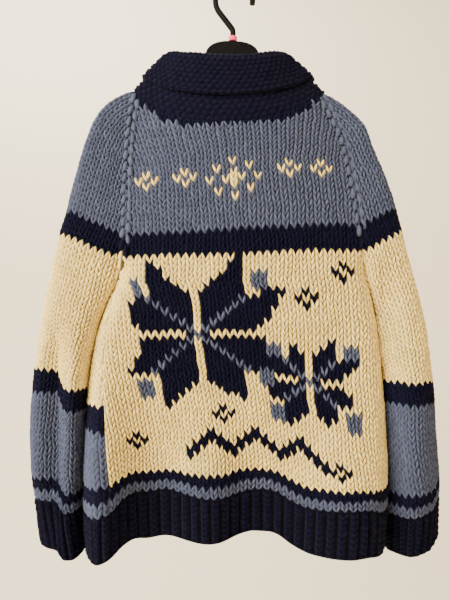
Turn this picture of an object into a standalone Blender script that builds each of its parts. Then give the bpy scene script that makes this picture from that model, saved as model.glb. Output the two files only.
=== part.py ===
"""A chunky hand-knitted raglan sweater on a plastic hanger, in metres, +Z up.

The garment hangs with its back towards -Y and its front towards +Y. The origin is
the inside top of the hanger's hook. Rows are knitted rows, counted down from the
top of the raglan seams, and every piece is worked out from the same rows.
"""
import math

import bmesh
import bpy
import numpy as np

# Cloth
WALL = 0.006                 # thickness of the knitting
SEAM_GAP = 0.00028           # half the gap that each piece leaves at a seam
COLLAR_WALL = 0.0056
COLLAR_LIFT = 0.0042         # collar's first row above the neck edges

# Knitted rows
BAND_END_ROW = 29.0          # end of the yoke's dark band
UNDERARM_ROW = 33.5          # where body and sleeves part
BODY_RIB_ROW = 71.0          # where the hem rib starts
BODY_END_ROW = 79.0
CUFF_RIB_ROW = 77.0
CUFF_END_ROW = 85.0
BACK_NECK_ROWS = 6.5         # rows missing at the middle of the back neck
FRONT_NECK_ROWS = 17.0       # rows missing at the middle of the front neck
FRONT_NECK_POWER = 1.2       # 1 would be a straight V, 2 a round neck
MIDDLE_POWER = 2.4           # how evenly the back's depth grows towards its middle
EDGE_ROUND = 0.030           # how far the body's side folds are rounded
MIDDLE_Y = -0.008            # depth where back and front meet at the side folds
CAP_BLUNTNESS = 4.0          # superellipse power of the sleeve over the shoulder
TUBE_BLUNTNESS = 2.3         # and of the hanging sleeve

# Grid of each piece
YOKE_STEPS = 7
BODY_STEPS = 9
SLEEVE_STEPS = 10
RIB_STEPS = 3
BACK_COLUMNS = 20
FRONT_COLUMNS = 22
SLEEVE_COLUMNS = 18
COLLAR_COLUMNS = 34
DENSE_POINTS = 241

# Hanger
HOOK_WIRE = 0.0082
HOOK_INNER_RADIUS = 0.0222
HOOK_TIP_ANGLE = -8.0        # degrees, where the open end of the hook stops
HOOK_SWEEP_END = 218.0       # degrees, where the hook's round part ends
HOOK_STEPS = 22
HANGER_TILT = 1.8            # degrees, the whole hanger leans to the side
HANGER_THICKNESS = 0.0085
ARM_SLOPE = 32.7             # degrees
ARM_DEPTH = 0.019
ARM_REACH = 0.173            # sideways from the hook to an arm's tip
ARM_START_X = 0.0432         # where the upper edge of an arm leaves the dome
ARM_START_Z = -0.1103
DOME_HALF_WIDTH = 0.0385
DOME_HEIGHT = 0.0240
DOME_BLUNTNESS = 2.5         # superellipse power of the dome
DOME_START_ANGLE = 8.0       # degrees, where the dome's curve starts and ends
DOME_TOP_Z = -0.0800
EDGE_BEVEL = 0.0016
HOOK_BEND = [                # x and z of the wire between its round part and the ring
    (-0.0030, -0.0600),
    (-0.0013, -0.0623),
    (-0.0004, -0.0648),
    (0.0, -0.0675),
]
RING_RADIUS = 0.0060
RING_HEIGHT = 0.0060
RING_SEGMENTS = 24
PART_GAP = 0.0003            # between body and ring, and ring and hook


def table(names, *rows):
    """Turn rows of numbers into one array for each named column."""
    values = np.array(rows, dtype=float)
    return {name: values[:, index] for index, name in enumerate(names.split())}


# Height of a knitted row across the back, from the left edge to the right one.
COURSES = table(
    "row left quarter middle three_quarter right",
    (0.0, -0.1610, -0.1620, -0.1620, -0.1630, -0.1640),
    (15.5, -0.2850, -0.2820, -0.2735, -0.2680, -0.2680),
    (29.0, -0.3895, -0.3868, -0.3845, -0.3805, -0.3813),
    (67.0, -0.6863, -0.6773, -0.6774, -0.6908, -0.6928),
    (71.0, -0.7209, -0.7033, -0.7054, -0.7145, -0.7248),
    (79.0, -0.7800, -0.7650, -0.7620, -0.7755, -0.7780),
)

# How much lower the hem hangs along its waves, full at WAVE_FULL_ROW.
HEM_WAVE = table(
    "x drop",
    (-0.2000, 0.0120),
    (-0.1725, 0.0050),
    (-0.1600, 0.0000),
    (-0.1480, -0.0075),
    (-0.1375, -0.0095),
    (-0.1180, -0.0030),
    (-0.0940, -0.0025),
    (-0.0650, 0.0035),
    (-0.0300, 0.0070),
    (-0.0175, 0.0070),
    (0.0067, 0.0020),
    (0.0364, -0.0028),
    (0.0580, -0.0015),
    (0.0740, 0.0055),
    (0.0940, 0.0088),
    (0.1145, 0.0055),
    (0.1415, 0.0000),
    (0.1750, -0.0025),
    (0.1970, 0.0050),
)
WAVE_START_ROW = 56.0
WAVE_FULL_ROW = 72.0

# Edges and depths of the body: seam is the back's left edge, left and right are the
# outermost points, edge_y to centre_y the back's depth, far_y the front's depth.
BODY = table(
    "row seam left right edge_y centre_y far_y",
    (0.0, -0.1400, -0.1400, 0.1178, -0.0130, -0.0260, 0.0130),
    (4.0, -0.1458, -0.1458, 0.1318, -0.0138, -0.0290, 0.0150),
    (8.0, -0.1490, -0.1490, 0.1440, -0.0155, -0.0310, 0.0165),
    (15.5, -0.1515, -0.1515, 0.1560, -0.0210, -0.0355, 0.0180),
    (25.0, -0.1530, -0.1530, 0.1680, -0.0280, -0.0390, 0.0200),
    (29.0, -0.1560, -0.1560, 0.1740, -0.0300, -0.0400, 0.0200),
    (33.5, -0.1650, -0.1650, 0.1830, -0.0310, -0.0400, 0.0205),
    (41.0, -0.1739, -0.1878, 0.1962, -0.0330, -0.0380, 0.0210),
    (48.0, -0.1767, -0.1985, 0.2032, -0.0340, -0.0360, 0.0215),
    (54.5, -0.1722, -0.2040, 0.2073, -0.0330, -0.0340, 0.0220),
    (60.0, -0.1683, -0.2070, 0.2093, -0.0320, -0.0320, 0.0220),
    (68.5, -0.1608, -0.2100, 0.2110, -0.0290, -0.0290, 0.0225),
    (71.0, -0.1600, -0.2102, 0.2110, -0.0280, -0.0280, 0.0225),
    (79.0, -0.1595, -0.2060, 0.2090, -0.0260, -0.0260, 0.0225),
)

# Soft folds that grow towards the hem: where, how far they stand out, how wide.
BACK_FOLDS = table(
    "x depth left_width right_width start_row full_row",
    (-0.172, 0.044, 0.036, 0.034, 38.0, 73.0),
    (-0.034, 0.026, 0.042, 0.036, 50.0, 75.0),
    (0.150, 0.046, 0.068, 0.060, 44.0, 74.0),
)
FRONT_FOLDS = table(
    "x depth left_width right_width start_row full_row",
    (-0.120, 0.010, 0.040, 0.040, 46.0, 76.0),
    (0.020, 0.012, 0.045, 0.050, 40.0, 74.0),
    (0.130, 0.008, 0.035, 0.035, 50.0, 76.0),
)

# Outer line of each sleeve, and below the underarm also its inner line and depth.
LEFT_OUTER = table(
    "row x z",
    (0.0, -0.1441, -0.1540),
    (2.1, -0.1597, -0.1611),
    (5.3, -0.1810, -0.1753),
    (8.7, -0.1960, -0.1966),
    (11.7, -0.2050, -0.2193),
    (17.2, -0.2178, -0.2619),
    (25.0, -0.2335, -0.3230),
    (29.0, -0.2425, -0.3556),
    (33.5, -0.2520, -0.3950),
    (44.0, -0.2655, -0.4660),
    (55.0, -0.2765, -0.5410),
    (66.0, -0.2829, -0.6280),
    (73.0, -0.2803, -0.6870),
    (77.0, -0.2772, -0.7165),
    (85.0, -0.2690, -0.7810),
)
RIGHT_OUTER = table(
    "row x z",
    (0.0, 0.1299, -0.1597),
    (2.6, 0.1469, -0.1711),
    (5.4, 0.1640, -0.1838),
    (7.9, 0.1765, -0.1966),
    (14.2, 0.1955, -0.2406),
    (20.1, 0.2125, -0.2832),
    (25.0, 0.2235, -0.3201),
    (29.0, 0.2315, -0.3514),
    (33.5, 0.2405, -0.3890),
    (44.0, 0.2615, -0.4700),
    (55.0, 0.2733, -0.5580),
    (66.0, 0.2775, -0.6360),
    (73.0, 0.2820, -0.6850),
    (77.0, 0.2832, -0.7105),
    (85.0, 0.2824, -0.7765),
)
LEFT_INNER = table(
    "row x z near_y far_y",
    (33.5, -0.1650, -0.4255, -0.0310, 0.0205),
    (37.0, -0.1800, -0.4530, -0.0330, 0.0220),
    (44.0, -0.1940, -0.4990, -0.0370, 0.0240),
    (55.0, -0.2040, -0.5680, -0.0400, 0.0260),
    (66.0, -0.2100, -0.6500, -0.0400, 0.0270),
    (73.0, -0.2125, -0.7080, -0.0400, 0.0280),
    (77.0, -0.2125, -0.7320, -0.0390, 0.0280),
    (85.0, -0.2070, -0.7915, -0.0380, 0.0260),
)
RIGHT_INNER = table(
    "row x z near_y far_y",
    (33.5, 0.1830, -0.4190, -0.0310, 0.0205),
    (37.0, 0.1935, -0.4460, -0.0330, 0.0220),
    (44.0, 0.2010, -0.4980, -0.0370, 0.0240),
    (55.0, 0.2080, -0.5592, -0.0400, 0.0260),
    (66.0, 0.2120, -0.6450, -0.0420, 0.0270),
    (73.0, 0.2135, -0.7120, -0.0410, 0.0280),
    (77.0, 0.2135, -0.7425, -0.0380, 0.0280),
    (85.0, 0.2120, -0.7950, -0.0300, 0.0260),
)

# One long fold down the near side of each sleeve.
LEFT_SLEEVE_FOLDS = table(
    "x depth left_width right_width start_row full_row",
    (-0.2060, 0.028, 0.017, 0.028, 36.0, 58.0),
    (-0.2400, -0.009, 0.016, 0.009, 40.0, 58.0),
    (-0.2370, 0.012, 0.017, 0.014, 70.0, 80.0),
)
RIGHT_SLEEVE_FOLDS = table(
    "x depth left_width right_width start_row full_row",
    (0.2050, -0.013, 0.014, 0.022, 30.0, 40.0),
    (0.2330, 0.012, 0.020, 0.024, 44.0, 66.0),
)

# Rows of a sleeve step down at its fold, full at full_row: where, half the step's width,
# the part of the height difference that lies in the step, and its rows.
SLEEVE_STEPS_DOWN = {
    "left": {"x": 0.2335, "half_width": 0.0080, "part": 0.9, "start_row": 40.0, "full_row": 54.0},
    "right": {"x": 0.2720, "half_width": 0.0090, "part": 0.5, "start_row": 58.0, "full_row": 72.0},
}

# Path across the collar: share of the way from neck edge to top ring, and offset
# outwards; from path_edge on, the share runs down to the edge of the fold-over.
COLLAR_PATH = table(
    "share offset fall",
    (0.00, 0.0000, 0.0),
    (0.22, 0.0030, 0.0),
    (0.45, 0.0010, 0.0),
    (0.72, -0.0010, 0.0),
    (0.94, 0.0000, 0.0),
    (1.00, 0.0050, 0.0),
    (0.94, 0.0105, 0.10),
    (0.80, 0.0120, 0.35),
    (0.60, 0.0120, 0.68),
    (0.40, 0.0115, 1.0),
)
TOP_RING_X = -0.0112
TOP_RING_HALF_WIDTH = 0.0764
NECK_HALF_WIDTH = 0.132      # the neck edge's rough size, for the angle round it
NECK_HALF_DEPTH = 0.030
COLLAR_SIDE_SHARE = 0.78     # the offsets are this much less over the shoulders
COLLAR_SIDE_LEAN = 0.6       # outward direction: sideways share at the shoulders
COLLAR_UP_LEAN = 0.25        # and its upward share
FALL_START = 0.97            # share where the fold-over begins
TOP_RING_NEAR_Y = -0.0290
TOP_RING_FAR_Y = 0.0260
TOP_RING_BACK_Z = -0.1185
TOP_RING_SIDE_Z = -0.1035
TOP_RING_FRONT_Z = -0.1220
FALL_EDGE_BACK = 0.42        # share of the collar where the fold-over ends, at the back
FALL_EDGE_SIDE = 0.38
FALL_EDGE_FRONT = 0.12
FALL_NOTCH = 0.50            # how far the fold-over is cut back at the front middle
FALL_NOTCH_ANGLE = 0.30      # radians, half the width of that notch

NAVY = (0.012, 0.013, 0.034, 1.0)
IVORY = (0.680, 0.580, 0.370, 1.0)
BLACK = (0.010, 0.010, 0.011, 1.0)
PINK = (0.800, 0.150, 0.260, 1.0)


def through(x, columns, name, key="row"):
    """Cubic curve through one column of a table, flat past its two ends."""
    xs = columns[key]
    ys = columns[name]
    slopes = np.gradient(ys, xs)
    x = np.clip(x, xs[0], xs[-1])
    index = np.clip(np.searchsorted(xs, x, side="right") - 1, 0, len(xs) - 2)
    step = xs[index + 1] - xs[index]
    t = (x - xs[index]) / step
    start = (1 + 2 * t) * (1 - t) ** 2 * ys[index] + t * (1 - t) ** 2 * step * slopes[index]
    end = t * t * (3 - 2 * t) * ys[index + 1] - t * t * (1 - t) * step * slopes[index + 1]
    return start + end


def smooth_step(x, start, end):
    """Ease from 0 at start to 1 at end."""
    t = np.clip((x - start) / (end - start), 0.0, 1.0)
    return t * t * (3 - 2 * t)


def fold_depth(x, row, folds):
    """How far the folds stand out at sideways place x of a row."""
    depth = np.zeros(np.broadcast(x, row).shape)
    for index in range(len(folds["x"])):
        distance = x - folds["x"][index]
        width = np.where(distance < 0, folds["left_width"][index], folds["right_width"][index])
        growth = smooth_step(row, folds["start_row"][index], folds["full_row"][index])
        depth = depth + folds["depth"][index] * growth * np.exp(-(distance / width) ** 2)
    return depth


def course_height(across, row):
    """Height of a row, across being 0 at the back's left edge and 1 at its right."""
    stations = np.array((0.0, 0.25, 0.5, 0.75, 1.0))
    names = ("left", "quarter", "middle", "three_quarter", "right")
    heights = [through(row, COURSES, name) for name in names]
    across = np.clip(across, 0.0, 1.0)
    total = 0.0
    for own, height in zip(stations, heights):
        weight = 1.0
        for other in stations:
            if other != own:
                weight = weight * (across - other) / (own - other)
        total = total + weight * height
    return total


def wave_drop(x, row):
    """How much lower the hem's waves bring a place of a row."""
    return through(x, HEM_WAVE, "drop", key="x") * smooth_step(row, WAVE_START_ROW, WAVE_FULL_ROW)


def side_closing(row):
    """0 where the yoke is open into the sleeves, 1 where the body's side is closed."""
    return smooth_step(row, BAND_END_ROW - 3.0, UNDERARM_ROW)


def body_point(angle, row):
    """Body surface: angle 0 is the right edge, pi the left one, beyond pi the back."""
    left = through(row, BODY, "left")
    right = through(row, BODY, "right")
    seam = through(row, BODY, "seam")
    half = (right - left) / 2
    x = (left + right) / 2 + half * np.cos(angle)
    inward = np.minimum(x - left, right - x)
    rounding = np.sqrt(1 - np.clip(1 - inward / EDGE_ROUND, 0.0, 1.0) ** 2)
    closing = 1 - side_closing(row) * (1 - rounding)
    middle = np.abs(2 * (x - (left + right) / 2) / (right - left))
    centre_share = 1 - np.clip(middle, 0, 1) ** MIDDLE_POWER
    edge_y = through(row, BODY, "edge_y")
    near_y = edge_y + (through(row, BODY, "centre_y") - edge_y) * centre_share
    near_y = near_y - fold_depth(x, row, BACK_FOLDS)
    far_y = through(row, BODY, "far_y") + fold_depth(x, row, FRONT_FOLDS) * centre_share
    side_y = np.where(angle > math.pi, near_y, far_y)
    y = MIDDLE_Y + (side_y - MIDDLE_Y) * closing
    near_z = course_height((x - seam) / (right - seam), row) - wave_drop(x, row)
    share = np.clip((x - seam) / (right - seam), 0, 1)
    left_z = course_height(0.0, row) - wave_drop(left, row)
    right_z = course_height(1.0, row) - wave_drop(right, row)
    far_z = left_z * (1 - share) + right_z * share
    z = np.where(angle > math.pi, near_z, far_z)
    return np.stack(np.broadcast_arrays(x, y, z), axis=-1)


def seam_angle(row):
    """Angle of the left side seam, at the left edge or on the near side of it."""
    left = through(row, BODY, "left")
    right = through(row, BODY, "right")
    seam = through(row, BODY, "seam")
    cosine = (seam - (left + right) / 2) / ((right - left) / 2)
    return 2 * math.pi - np.arccos(np.clip(cosine, -1.0, 1.0))


def even_points(point, starts, ends, rows, columns):
    """Points at equal steps of length from start to end angle, one line for each row."""
    lines = []
    for start, end, row in zip(starts, ends, rows):
        angles = np.linspace(start, end, DENSE_POINTS)
        dense_rows = np.broadcast_to(row, angles.shape) if np.ndim(row) == 0 else row
        path = point(angles, dense_rows)
        lengths = np.linalg.norm(np.diff(path, axis=0), axis=1)
        along = np.concatenate(([0.0], np.cumsum(lengths)))
        wanted = np.linspace(0.0, along[-1], columns + 1)
        line = [np.interp(wanted, along, path[:, axis]) for axis in range(3)]
        lines.append(np.stack(line, axis=-1))
    return np.array(lines)


def back_neck_row(angle):
    """Row where the back stops at the neck."""
    return BACK_NECK_ROWS * (1 - np.cos(angle) ** 2)


def front_neck_row(angle):
    """Row where the front stops at the neck, a rounded V."""
    return FRONT_NECK_ROWS * (1 - np.abs(np.cos(angle)) ** FRONT_NECK_POWER)


def yoke_rows(level, neck_rows):
    """Rows of one yoke line: level 0 follows the neck, level 1 is the underarm."""
    return neck_rows + (UNDERARM_ROW - neck_rows) * level


def panel_lines(front):
    """Outer points of the back or the front, from the neck to the hem."""
    columns = FRONT_COLUMNS if front else BACK_COLUMNS
    lines = []
    for level in np.linspace(0.0, 1.0, YOKE_STEPS + 1)[:-1]:
        start, end = (0.0, math.pi) if front else (math.pi + 1e-6, 2 * math.pi)
        angles = np.linspace(start, end, DENSE_POINTS)
        neck = front_neck_row(angles) if front else back_neck_row(angles)
        rows = yoke_rows(level, neck)
        lines.append(even_points(body_point, [start], [end], [rows], columns)[0])
    steps = np.concatenate((
        np.linspace(UNDERARM_ROW, BODY_RIB_ROW, BODY_STEPS + 1)[:-1],
        np.linspace(BODY_RIB_ROW, BODY_END_ROW, RIB_STEPS + 1),
    ))
    seams = seam_angle(steps)
    if front:
        lower = even_points(body_point, np.zeros(len(steps)), seams, steps, columns)
    else:
        lower = even_points(body_point, seams + 1e-6, np.full(len(steps), 2 * math.pi), steps, columns)
    return np.concatenate((np.array(lines), lower))


def sleeve_power(row):
    """Power of the sleeve's rounded section."""
    return CAP_BLUNTNESS + (TUBE_BLUNTNESS - CAP_BLUNTNESS) * smooth_step(row, 6.0, 44.0)


def sleeve_opening(row):
    """Angle where a sleeve starts and ends: a quarter turn in the yoke, none in the tube."""
    return np.arcsin((1 - side_closing(row)) ** (sleeve_power(row) / 2))


def stepped_share(share, distance, row, step):
    """Move a share towards a step at the sleeve's fold."""
    low = step["x"] - step["half_width"]
    high = step["x"] + step["half_width"]
    part = step["part"] * smooth_step(row, step["start_row"], step["full_row"])
    return share + (smooth_step(distance, low, high) - share) * part


def sleeve_point(side, angle, row):
    """Sleeve surface: side -1 is the left sleeve; angle 0 is its inner line."""
    outer = LEFT_OUTER if side < 0 else RIGHT_OUTER
    inner = LEFT_INNER if side < 0 else RIGHT_INNER
    folds = LEFT_SLEEVE_FOLDS if side < 0 else RIGHT_SLEEVE_FOLDS
    body_side = "left" if side < 0 else "right"
    yoke = row < UNDERARM_ROW
    inner_x = np.where(yoke, through(row, BODY, body_side), through(row, inner, "x"))
    edge_height = course_height(0.0 if side < 0 else 1.0, row)
    join = smooth_step(row, UNDERARM_ROW, UNDERARM_ROW + 6)
    tube_z = edge_height * (1 - join) + through(row, inner, "z") * join
    inner_z = np.where(yoke, edge_height, tube_z)
    near_y = np.where(yoke, through(row, BODY, "edge_y"), through(row, inner, "near_y"))
    far_y = np.where(yoke, through(row, BODY, "far_y"), through(row, inner, "far_y"))
    power = 2 / sleeve_power(row)
    outer_x = through(row, outer, "x")
    half = (inner_x - outer_x) / (1 + np.cos(sleeve_opening(row)) ** power)
    x = outer_x + half * (1 + np.sign(np.cos(angle)) * np.abs(np.cos(angle)) ** power)
    near = np.sin(angle) > 0
    depth = np.where(near, near_y - MIDDLE_Y, far_y - MIDDLE_Y)
    depth = depth - np.where(near, fold_depth(x, row, folds), 0.0)
    y = MIDDLE_Y + depth * np.abs(np.sin(angle)) ** power
    share = (inner_x - x) / (inner_x - outer_x)
    share = stepped_share(share, np.abs(x), row, SLEEVE_STEPS_DOWN[body_side])
    z = inner_z + (through(row, outer, "z") - inner_z) * share
    return np.stack(np.broadcast_arrays(x, y, z), axis=-1)


def sleeve_lines(side):
    """Outer points of a sleeve, from the back's raglan seam round to the front's."""
    rows = np.concatenate((
        np.linspace(0.0, UNDERARM_ROW, YOKE_STEPS + 1)[:-1],
        np.linspace(UNDERARM_ROW, CUFF_RIB_ROW, SLEEVE_STEPS + 1)[:-1],
        np.linspace(CUFF_RIB_ROW, CUFF_END_ROW, RIB_STEPS + 1),
    ))
    opening = sleeve_opening(rows)

    def point(angle, row):
        return sleeve_point(side, angle, row)

    return even_points(point, opening, 2 * math.pi - opening, rows, SLEEVE_COLUMNS)


def outward_normals(lines, flip):
    """Unit normals of a grid of points."""
    across = np.gradient(lines, axis=1)
    down = np.gradient(lines, axis=0)
    normals = np.cross(across, down) * flip
    return normals / np.linalg.norm(normals, axis=-1, keepdims=True)


def share_normals(first, second):
    """Give two seam edges the same normals, so that their walls meet face to face."""
    mean = first + second
    mean = mean / np.linalg.norm(mean, axis=-1, keepdims=True)
    first[:] = mean
    second[:] = mean


def pull_from_edges(lines, gap):
    """Draw the side edges of a grid in by a small gap."""
    pulled = lines.copy()
    for edge, neighbour in ((0, 1), (-1, -2)):
        step = lines[:, neighbour] - lines[:, edge]
        length = np.linalg.norm(step, axis=-1, keepdims=True)
        pulled[:, edge] = lines[:, edge] + step / length * gap
    return pulled


def pull_from_ends(lines, gap):
    """Draw the first and last line of a grid in by a small gap."""
    return pull_from_edges(lines.swapaxes(0, 1), gap).swapaxes(0, 1)


def material(name, colour, roughness, metallic=0.0):
    """A plain surface finish."""
    finish = bpy.data.materials.new(name)
    finish.use_nodes = True
    shader = finish.node_tree.nodes["Principled BSDF"]
    shader.inputs["Base Color"].default_value = colour
    shader.inputs["Roughness"].default_value = roughness
    shader.inputs["Metallic"].default_value = metallic
    return finish


def finish_object(name, mesh, finish, smooth_angle=math.radians(50)):
    """Put a mesh in the scene with its finish."""
    mesh.materials.append(finish)
    mesh.shade_smooth()
    mesh.set_sharp_from_angle(angle=smooth_angle)
    piece = bpy.data.objects.new(name, mesh)
    bpy.context.scene.collection.objects.link(piece)
    return piece


def wall_solid(name, outer, inner, finish, closed=False):
    """A wall between two grids of one size; closed joins the last column to the first."""
    rows, columns = outer.shape[:2]
    mesh = bpy.data.meshes.new(name)
    build = bmesh.new()
    layers = []
    for grid in (outer, inner):
        layers.append([[build.verts.new(point) for point in line] for line in grid.tolist()])
    spans = columns if closed else columns - 1
    for row in range(rows - 1):
        for column in range(spans):
            after = (column + 1) % columns
            for layer, turn in ((layers[0], 1), (layers[1], -1)):
                corners = [layer[row][column], layer[row][after]]
                corners += [layer[row + 1][after], layer[row + 1][column]]
                build.faces.new(corners[::turn])
    for row, turn in ((0, -1), (rows - 1, 1)):
        for column in range(spans):
            after = (column + 1) % columns
            corners = [layers[0][row][column], layers[0][row][after]]
            corners += [layers[1][row][after], layers[1][row][column]]
            build.faces.new(corners[::turn])
    if not closed:
        for column, turn in ((0, 1), (columns - 1, -1)):
            for row in range(rows - 1):
                corners = [layers[0][row][column], layers[0][row + 1][column]]
                corners += [layers[1][row + 1][column], layers[1][row][column]]
                build.faces.new(corners[::turn])
    bmesh.ops.recalc_face_normals(build, faces=build.faces[:])
    bmesh.ops.triangulate(build, faces=build.faces[:])
    build.to_mesh(mesh)
    build.free()
    return finish_object(name, mesh, finish)


def cloth_piece(name, lines, normals, first, last, finish):
    """A knitted piece from line first to line last of a grid."""
    outer = pull_from_edges(lines, SEAM_GAP)[first:last + 1]
    outer = pull_from_ends(outer, SEAM_GAP)
    inner = outer - normals[first:last + 1] * WALL
    return wall_solid(name, outer, inner, finish)


def make_garment(finishes):
    """Back, front, sleeves, ribs and collar."""
    back = panel_lines(front=False)
    front = panel_lines(front=True)
    left = sleeve_lines(-1)
    right = sleeve_lines(1)
    back_normals = outward_normals(back, -1)
    front_normals = outward_normals(front, -1)
    left_normals = outward_normals(left, 1)
    right_normals = outward_normals(right, -1)
    yoke = slice(0, YOKE_STEPS)
    body = slice(YOKE_STEPS, None)
    share_normals(back_normals[yoke, 0], left_normals[yoke, 0])
    share_normals(front_normals[yoke, -1], left_normals[yoke, -1])
    share_normals(back_normals[yoke, -1], right_normals[yoke, 0])
    share_normals(front_normals[yoke, 0], right_normals[yoke, -1])
    share_normals(back_normals[body, 0], front_normals[body, -1])
    share_normals(back_normals[body, -1], front_normals[body, 0])
    share_normals(left_normals[body, 0], left_normals[body, -1])
    share_normals(right_normals[body, 0], right_normals[body, -1])
    body_rib = YOKE_STEPS + BODY_STEPS
    cuff_rib = YOKE_STEPS + SLEEVE_STEPS
    cloth_piece("back", back, back_normals, 0, body_rib, finishes["ivory"])
    cloth_piece("front", front, front_normals, 0, body_rib, finishes["ivory"])
    cloth_piece("back_hem_rib", back, back_normals, body_rib, len(back) - 1, finishes["navy"])
    cloth_piece("front_hem_rib", front, front_normals, body_rib, len(front) - 1, finishes["navy"])
    for name, lines, normals in (("left", left, left_normals), ("right", right, right_normals)):
        cloth_piece(f"sleeve_{name}", lines, normals, 0, cuff_rib, finishes["ivory"])
        cloth_piece(f"cuff_{name}", lines, normals, cuff_rib, len(lines) - 1, finishes["navy"])
    back_edge = back[0] - back_normals[0] * WALL / 2
    right_edge = right[0] - right_normals[0] * WALL / 2
    front_edge = front[0] - front_normals[0] * WALL / 2
    left_edge = left[0] - left_normals[0] * WALL / 2
    make_collar(neck_loop(back_edge, right_edge, front_edge, left_edge[::-1]), finishes["navy"])


def neck_loop(*edges):
    """Middle of the wall along the neck edge, all the way round, evenly spaced."""
    loop = np.concatenate([edge[:-1] for edge in edges])
    closed = np.concatenate((loop, loop[:1]))
    along = np.concatenate(([0.0], np.cumsum(np.linalg.norm(np.diff(closed, axis=0), axis=1))))
    wanted = np.linspace(0.0, along[-1], COLLAR_COLUMNS + 1)[:-1]
    line = [np.interp(wanted, along, closed[:, axis]) for axis in range(3)]
    return np.stack(line, axis=-1)


def make_collar(neck, finish):
    """A shawl collar: a band that stands up from the neck edge and folds over."""
    angle = np.arctan2(neck[:, 1] / NECK_HALF_DEPTH, (neck[:, 0] - TOP_RING_X) / NECK_HALF_WIDTH)
    sine = np.sin(angle)
    cosine = np.cos(angle)
    near = sine < 0
    ring_y = np.where(near, -TOP_RING_NEAR_Y, TOP_RING_FAR_Y) * sine
    end_z = np.where(near, TOP_RING_BACK_Z, TOP_RING_FRONT_Z)
    ring_z = TOP_RING_SIDE_Z + (end_z - TOP_RING_SIDE_Z) * sine ** 2
    ring = np.stack((TOP_RING_X + TOP_RING_HALF_WIDTH * cosine, ring_y, ring_z), axis=-1)
    upward = ring - neck
    base = neck + upward / np.linalg.norm(upward, axis=-1, keepdims=True) * COLLAR_LIFT
    upward_share = np.full(sine.shape, COLLAR_UP_LEAN)
    outward = np.stack((cosine * COLLAR_SIDE_LEAN, sine, upward_share), axis=-1)
    outward = outward / np.linalg.norm(outward, axis=-1, keepdims=True)
    outward = outward * (COLLAR_SIDE_SHARE + (1 - COLLAR_SIDE_SHARE) * sine ** 2)[:, None]
    edge = np.where(near, FALL_EDGE_BACK, FALL_EDGE_FRONT)
    edge = FALL_EDGE_SIDE + (edge - FALL_EDGE_SIDE) * sine ** 2
    to_front = np.abs(np.mod(angle - math.pi / 2 + math.pi, 2 * math.pi) - math.pi)
    edge = edge + FALL_NOTCH * np.clip(1 - to_front / FALL_NOTCH_ANGLE, 0.0, 1.0)
    sheet = []
    path = (COLLAR_PATH["share"], COLLAR_PATH["offset"], COLLAR_PATH["fall"])
    for share, offset, fall in zip(*path):
        own_share = share if fall == 0 else FALL_START + (edge - FALL_START) * fall
        own_share = np.broadcast_to(own_share, sine.shape)[:, None]
        sheet.append(base + (ring - base) * own_share + outward * offset)
    sheet = np.array(sheet)
    down = np.gradient(sheet, axis=0)
    across = np.roll(sheet, -1, axis=1) - np.roll(sheet, 1, axis=1)
    normals = np.cross(across, down)
    normals = normals / np.linalg.norm(normals, axis=-1, keepdims=True)
    half = COLLAR_WALL / 2
    wall_solid("collar", sheet + normals * half, sheet - normals * half, finish, closed=True)


def hanger_outline():
    """Outline of the flat hanger: a blunt dome with a sloping arm on each side."""
    slope = math.tan(math.radians(ARM_SLOPE))
    start = math.radians(DOME_START_ANGLE)
    centre_z = DOME_TOP_Z - DOME_HEIGHT
    power = 2 / DOME_BLUNTNESS
    outline = []
    for angle in np.linspace(start, math.pi - start, 13).tolist():
        cosine = math.cos(angle)
        x = DOME_HALF_WIDTH * math.copysign(abs(cosine) ** power, cosine)
        outline.append((x, centre_z + DOME_HEIGHT * math.sin(angle) ** power))
    tip_z = ARM_START_Z - (ARM_REACH - ARM_START_X) * slope
    left = [
        (-ARM_START_X, ARM_START_Z),
        (-ARM_REACH, tip_z),
        (-ARM_REACH - 0.2 * ARM_DEPTH, tip_z - 0.4 * ARM_DEPTH),
        (-ARM_REACH, tip_z - 0.9 * ARM_DEPTH),
        (-ARM_START_X, ARM_START_Z - ARM_DEPTH),
    ]
    right = [(-x, z) for x, z in reversed(left)]
    return outline + left + right


def make_hanger_body(finish):
    """The flat body, its outline drawn out to the body's thickness."""
    build = bmesh.new()
    half = HANGER_THICKNESS / 2
    near = [build.verts.new((x, -half, z)) for x, z in hanger_outline()]
    face = build.faces.new(near)
    extruded = bmesh.ops.extrude_face_region(build, geom=[face])
    moved = [item for item in extruded["geom"] if isinstance(item, bmesh.types.BMVert)]
    bmesh.ops.translate(build, verts=moved, vec=(0.0, HANGER_THICKNESS, 0.0))
    bmesh.ops.recalc_face_normals(build, faces=build.faces[:])
    mesh = bpy.data.meshes.new("hanger_body")
    build.to_mesh(mesh)
    build.free()
    body = finish_object("hanger_body", mesh, finish)
    bevel = body.modifiers.new("Edges", "BEVEL")
    bevel.width = EDGE_BEVEL
    bevel.segments = 2
    bevel.limit_method = "ANGLE"
    return body


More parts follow.
